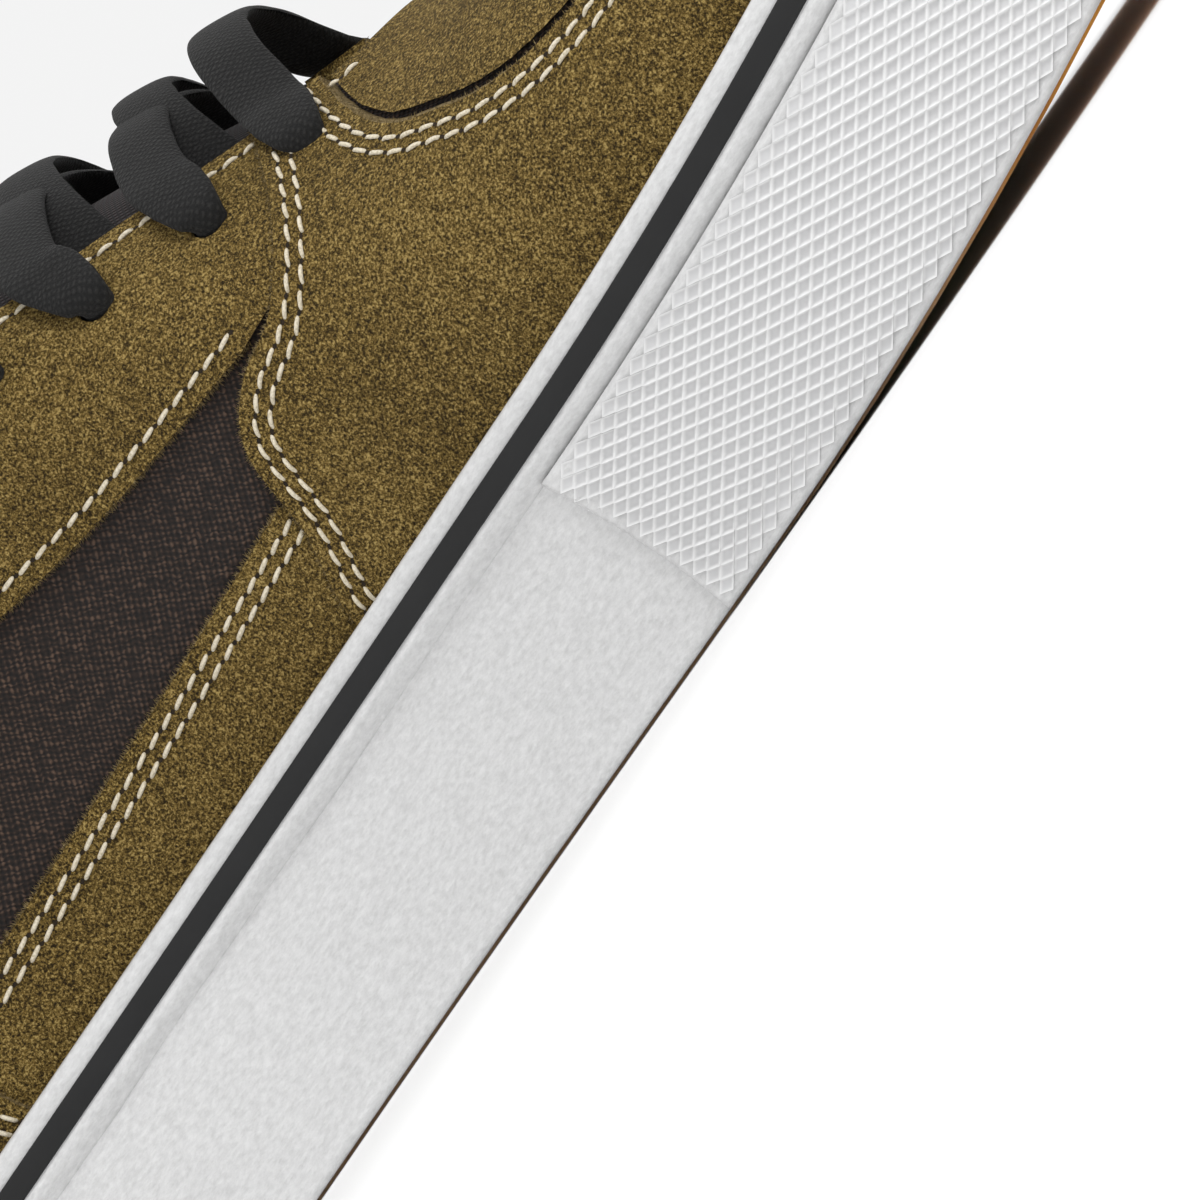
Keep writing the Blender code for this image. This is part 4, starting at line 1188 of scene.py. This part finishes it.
TONGUE_THICKNESS = 0.0045
TONGUE_MARGIN = 0.0085
TONGUE_CLEARANCE = 0.0012
TONGUE_RISE = 0.027
TONGUE_TUCK = 0.012
TUCK_SLOPE = 0.34
TIP_REACH = 0.0016
THROAT_CROWN = 0.0085
# Place round the foot, then share of the crown
TONGUE_SWELL = ((0.660, 0.10), (0.620, 0.45), (0.570, 0.85), (0.520, 1.00), (0.470, 1.00), (0.425, 1.00))
# Share of the rise above the collar, then share of the last width
TONGUE_TOP = ((0.35, 0.96), (0.70, 0.97), (0.92, 0.94), (1.00, 0.82))


def crowned(start, end, crown, steps, power=1.0):
    """Points between two places, on a line that arches up over the foot."""
    span = end - start
    up = span.cross(Vector((1, 0, 0))).normalized()
    up = up if up.z > 0 else -up
    shares = [step / steps for step in range(1, steps)]
    return [start + span * share + up * crown * (1 - (2 * share - 1) ** 2) ** power for share in shares]


def arch(place, climb, crown):
    """Points over the throat: up the inner side's climb, over a crown and down the outer side's."""
    sides = []
    for turn in (place, 2 - place):
        spots = [wall_spot(turn, depth) for depth in climb]
        sides.append([point + out * (-CLOTH_WALL - TONGUE_CLEARANCE) for point, out in spots])
    inner, outer = sides
    return inner + crowned(inner[-1], outer[-1], crown, 6) + outer[::-1]


tongue_climb = (TONGUE_MARGIN, TONGUE_MARGIN * 0.55, TONGUE_CLEARANCE)
sections = [arch(place, tongue_climb, THROAT_CROWN * swell) for place, swell in TONGUE_SWELL]
front = sections[0]
level = sum(point.z for point in front) / len(front)
tucked = []
for point in front:
    tucked.append(point + Vector((TONGUE_TUCK, 0, -TONGUE_TUCK * TUCK_SLOPE + (level - point.z) * 0.35)))
last = sections[-1]
centre = sum(last, Vector()) / len(last)
earlier = sections[-3]
heading = (centre - sum(earlier, Vector()) / len(earlier)).normalized()
free_end = []
for rise_share, width in TONGUE_TOP:
    moved = centre + heading * TONGUE_RISE * rise_share
    free_end.append([moved + (point - centre) * width for point in last])
top_side = np.array([tucked] + sections + free_end, dtype=float)
tongue_up = unit(np.cross(np.gradient(top_side, axis=1), np.gradient(top_side, axis=0)))
body_thick = np.sin(pi * (0.10 + 0.80 * np.linspace(0, 1, top_side.shape[1]))) * TONGUE_THICKNESS
under_side = top_side - tongue_up * body_thick[None, :, None]
rings = list(np.concatenate((top_side, under_side[:, ::-1], top_side[:, :1]), axis=1))
first_heart = np.mean(rings[0], axis=0)
last_heart = np.mean(rings[-1], axis=0)
rings.insert(0, first_heart + (rings[0] - first_heart) * 0.5)
tip = np.array(heading) * TIP_REACH
rings.append(last_heart + (rings[-1] - last_heart) * 0.93 + tip)
rings.append(last_heart + (rings[-2] - last_heart) * 0.55 + tip * 1.7)
tongue = lofted("tongue_pad", rings, closed=True)
close_ends(tongue, 40, 3)

# Tongue cloth: the same dark yarn as the quarters in a finer plain weave, 0.6 mm
tongue_cloth, tree, shader = finish_named("tongue_plain_weave", 0.95, Sheen_Weight=0.08, Sheen_Roughness=0.5)
spot = coordinates(tree)
woven = combined(tree, "MULTIPLY", *warp_and_weft(tree, spot, 520.0, 1.0, 2.0))
coloured(tree, shader, woven, (0.0, "#110C0D"), (0.8, "#2E2222"))
embossed(tree, shader, woven, 0.7, 0.0003)
fit(tongue, tongue_cloth, ["tongue"])


# The lace: one flat tubular braid of fuzzy black cotton, laced as a straight bar below and as
# crossings above. It enters every eyelet from outside, and the lower end of each crossing comes
# out from under the other side's eyestay.

LACE_WIDTH = 0.0076
LACE_THICKNESS = 0.0017
LACE_REST = 0.0018
LACE_CROWN = 0.0095
CROSSING_REACH = 0.40
THROAT_FALL = -0.50
LACE_STEPS = 6


def side_path(place, into_eyelet):
    """Path of a lace on one side, from its hidden end to the throat edge, with widths."""
    face = GAP + SUEDE_THICKNESS
    over = face + LACE_REST
    inside = -CLOTH_WALL - 0.0010
    if into_eyelet:
        stops = ((EYELET_SETBACK + 0.0004, -0.0040, 0.50, 1.5), (EYELET_SETBACK + 0.0004, -0.0010, 0.50, 1.5))
        stops += ((EYELET_SETBACK + 0.0006, face - 0.0002, 0.56, 1.4),)
        stops += ((EYELET_SETBACK - 0.0004, face + 0.0012, 0.80, 1.2),)
        stops += ((EYELET_SETBACK * 0.55, over, 1.0, 1.0), (0.0, over, 1.0, 1.0))
    else:
        stops = ((0.0085, inside, 0.9, 1.0), (0.0045, inside, 0.95, 1.0), (0.0004, inside + 0.0004, 1.0, 1.0))
    path = []
    for depth, offset, width, thick in stops:
        point, out = wall_spot(place, depth)
        path.append((point + out * offset, width, thick))
    return path


def bulged(value, power):
    """A sine or cosine pushed out toward a squarer section."""
    return abs(value) ** power * (1 if value > 0 else -1)


def lace_strand(name, inner_place, outer_place, inner_eyelet, outer_eyelet, crown):
    """One strand of the lace over the throat, as a flattened tube with its own UV map."""
    inner = side_path(inner_place, inner_eyelet)
    outer = side_path(2 - outer_place, outer_eyelet)
    a = inner[-1][0]
    b = outer[-1][0]
    path = inner + [(point, 1.0, 1.0) for point in crowned(a, b, crown, 5, 0.9)] + outer[::-1]
    points, widths, thicks = zip(*path)
    line = smooth_line(points, lambda *_: LACE_STEPS)
    counts = np.linspace(0, len(path) - 1, len(line))
    widths = np.interp(counts, np.arange(len(path)), widths)
    thicks = np.interp(counts, np.arange(len(path)), thicks)
    heart = (a + b) / 2 - Vector((0, 0, LACE_CROWN))
    along = Vector((1, 0, THROAT_FALL)).normalized()
    grid = []
    for number, point in enumerate(line):
        before = line[max(number - 1, 0)]
        after = line[min(number + 1, len(line) - 1)]
        run = (after - before).normalized()
        across = (along - run * along.dot(run)).normalized()
        top = across.cross(run).normalized()
        top = top if top.dot(point - heart) > 0 else -top
        ring = []
        for corner in range(21):
            turn = 2 * pi * corner / 20
            wide = across * bulged(cos(turn), 0.75) * LACE_WIDTH / 2 * widths[number]
            tall = top * bulged(sin(turn), 0.85) * LACE_THICKNESS / 2 * thicks[number]
            fuzz = 1 + 0.05 * noise.noise(point * 500 + Vector((corner * 1.7, 0, 0)))
            ring.append(point + (wide + tall) * fuzz)
        grid.append(ring)
    strand = lofted(name, grid, closed=True)
    close_ends(strand, 24, 1)
    return strand


# Cotton lace: charcoal-black tubular braid, strands about 0.7 mm wide crossing at a slant, fuzzy
cotton_lace, tree, shader = finish_named("braided_cotton_lace", 0.95, Sheen_Weight=0.10, Sheen_Roughness=0.45)
shader.inputs["Sheen Tint"].default_value = linear("#8A8886")
flat = coordinates(tree, "UV")
spot = coordinates(tree)
slanted = []
for slant in (38, -38):
    turned = add(tree, "Mapping", {}, {"Vector": flat, "Rotation": (0.0, 0.0, radians(slant))})
    slanted.append(yarns(tree, turned, "X", 480.0, 3.5, 2.0))
braid = combined(tree, "MULTIPLY", *slanted)
fuzz = speckle(tree, spot, 2600.0, 3.0, Roughness=0.7)
rough_braid = combined(tree, "MULTIPLY_ADD", braid, 0.35, fuzz)
coloured(tree, shader, rough_braid, (0.42, "#030303"), (0.58, "#090909"), (0.85, "#201F1E"))
embossed(tree, shader, rough_braid, 0.8, 0.0005)

bar = lace_strand("lace_bar_braid", eyelet_places[0], eyelet_places[0], True, True, LACE_CROWN)
fit(bar, cotton_lace, ["lace_bar"])
for pair in range(1, EYELET_PAIRS):
    here = eyelet_places[pair]
    lower = here + (eyelet_places[pair - 1] - here) * CROSSING_REACH
    name = f"lace_crossing_{pair}_braid"
    under = lace_strand(name, here, lower, True, False, LACE_CROWN - 0.0006)
    over = lace_strand(name + "_over", lower, here, False, True, LACE_CROWN + 0.0016)
    pick(under, over)
    bpy.ops.object.join()
    fit(under, cotton_lace, [f"lace_crossing_{pair}"])


# The studio: a pale seamless floor and three broad soft lamps. The camera stands low at the inner
# side, level with the ball of the foot, and is rolled so that the toe points up to the right.

bpy.ops.mesh.primitive_plane_add(size=8.0, location=(0.0, 0.0, 0.0))
floor = bpy.context.object
floor.name = "studio_floor"
studio_paper, tree, shader = finish_named("studio_paper", 0.9)
shader.inputs["Base Color"].default_value = linear("#F2F2F2")
floor.data.materials.append(studio_paper)

LOOK_AT = Vector((0.0158, -0.047, 0.012))
CAMERA_AZIMUTH = 14.5
CAMERA_RISE = 0.8
CAMERA_DISTANCE = 0.69
PHOTO_ROLL = 55.7
SHOE_HEART = Vector((0.0, 0.0, 0.04))
azimuth = radians(CAMERA_AZIMUTH)
rise = radians(CAMERA_RISE)
back = Vector((sin(azimuth) * cos(rise), -cos(azimuth) * cos(rise), sin(rise)))
camera_data = bpy.data.cameras.new("studio_camera")
camera_data.lens = 203.0
camera_data.sensor_width = 36.0
camera_data.clip_start = 0.01
camera_data.clip_end = 30.0
camera = placed("studio_camera", camera_data)
camera.rotation_mode = "QUATERNION"
camera.location = LOOK_AT + back * CAMERA_DISTANCE
roll = Quaternion((0, 0, 1), -radians(PHOTO_ROLL))
camera.rotation_quaternion = (-back).to_track_quat("-Z", "Y") @ roll
bpy.context.scene.camera = camera

world = bpy.data.worlds.new("studio_air")
world.use_nodes = True
air = world.node_tree.nodes["Background"]
air.inputs["Color"].default_value = (1.0, 1.0, 1.0, 1.0)
air.inputs["Strength"].default_value = 0.90
bpy.context.scene.world = world
bpy.context.scene.view_settings.view_transform = "Standard"


def lamp(name, spot, size, power):
    """One square soft box, turned to the shoe."""
    data = bpy.data.lights.new(name, "AREA")
    data.shape = "SQUARE"
    data.size = size
    data.energy = power
    made = placed(name, data)
    made.location = spot
    made.rotation_euler = (SHOE_HEART - Vector(spot)).to_track_quat("-Z", "Y").to_euler()


lamp("key_box", (0.75, -0.55, 0.95), 0.45, 7.0)
lamp("fill_box", (-0.9, -0.9, 0.5), 0.9, 0.8)
lamp("rim_box", (0.1, 1.0, 0.9), 0.8, 2.0)
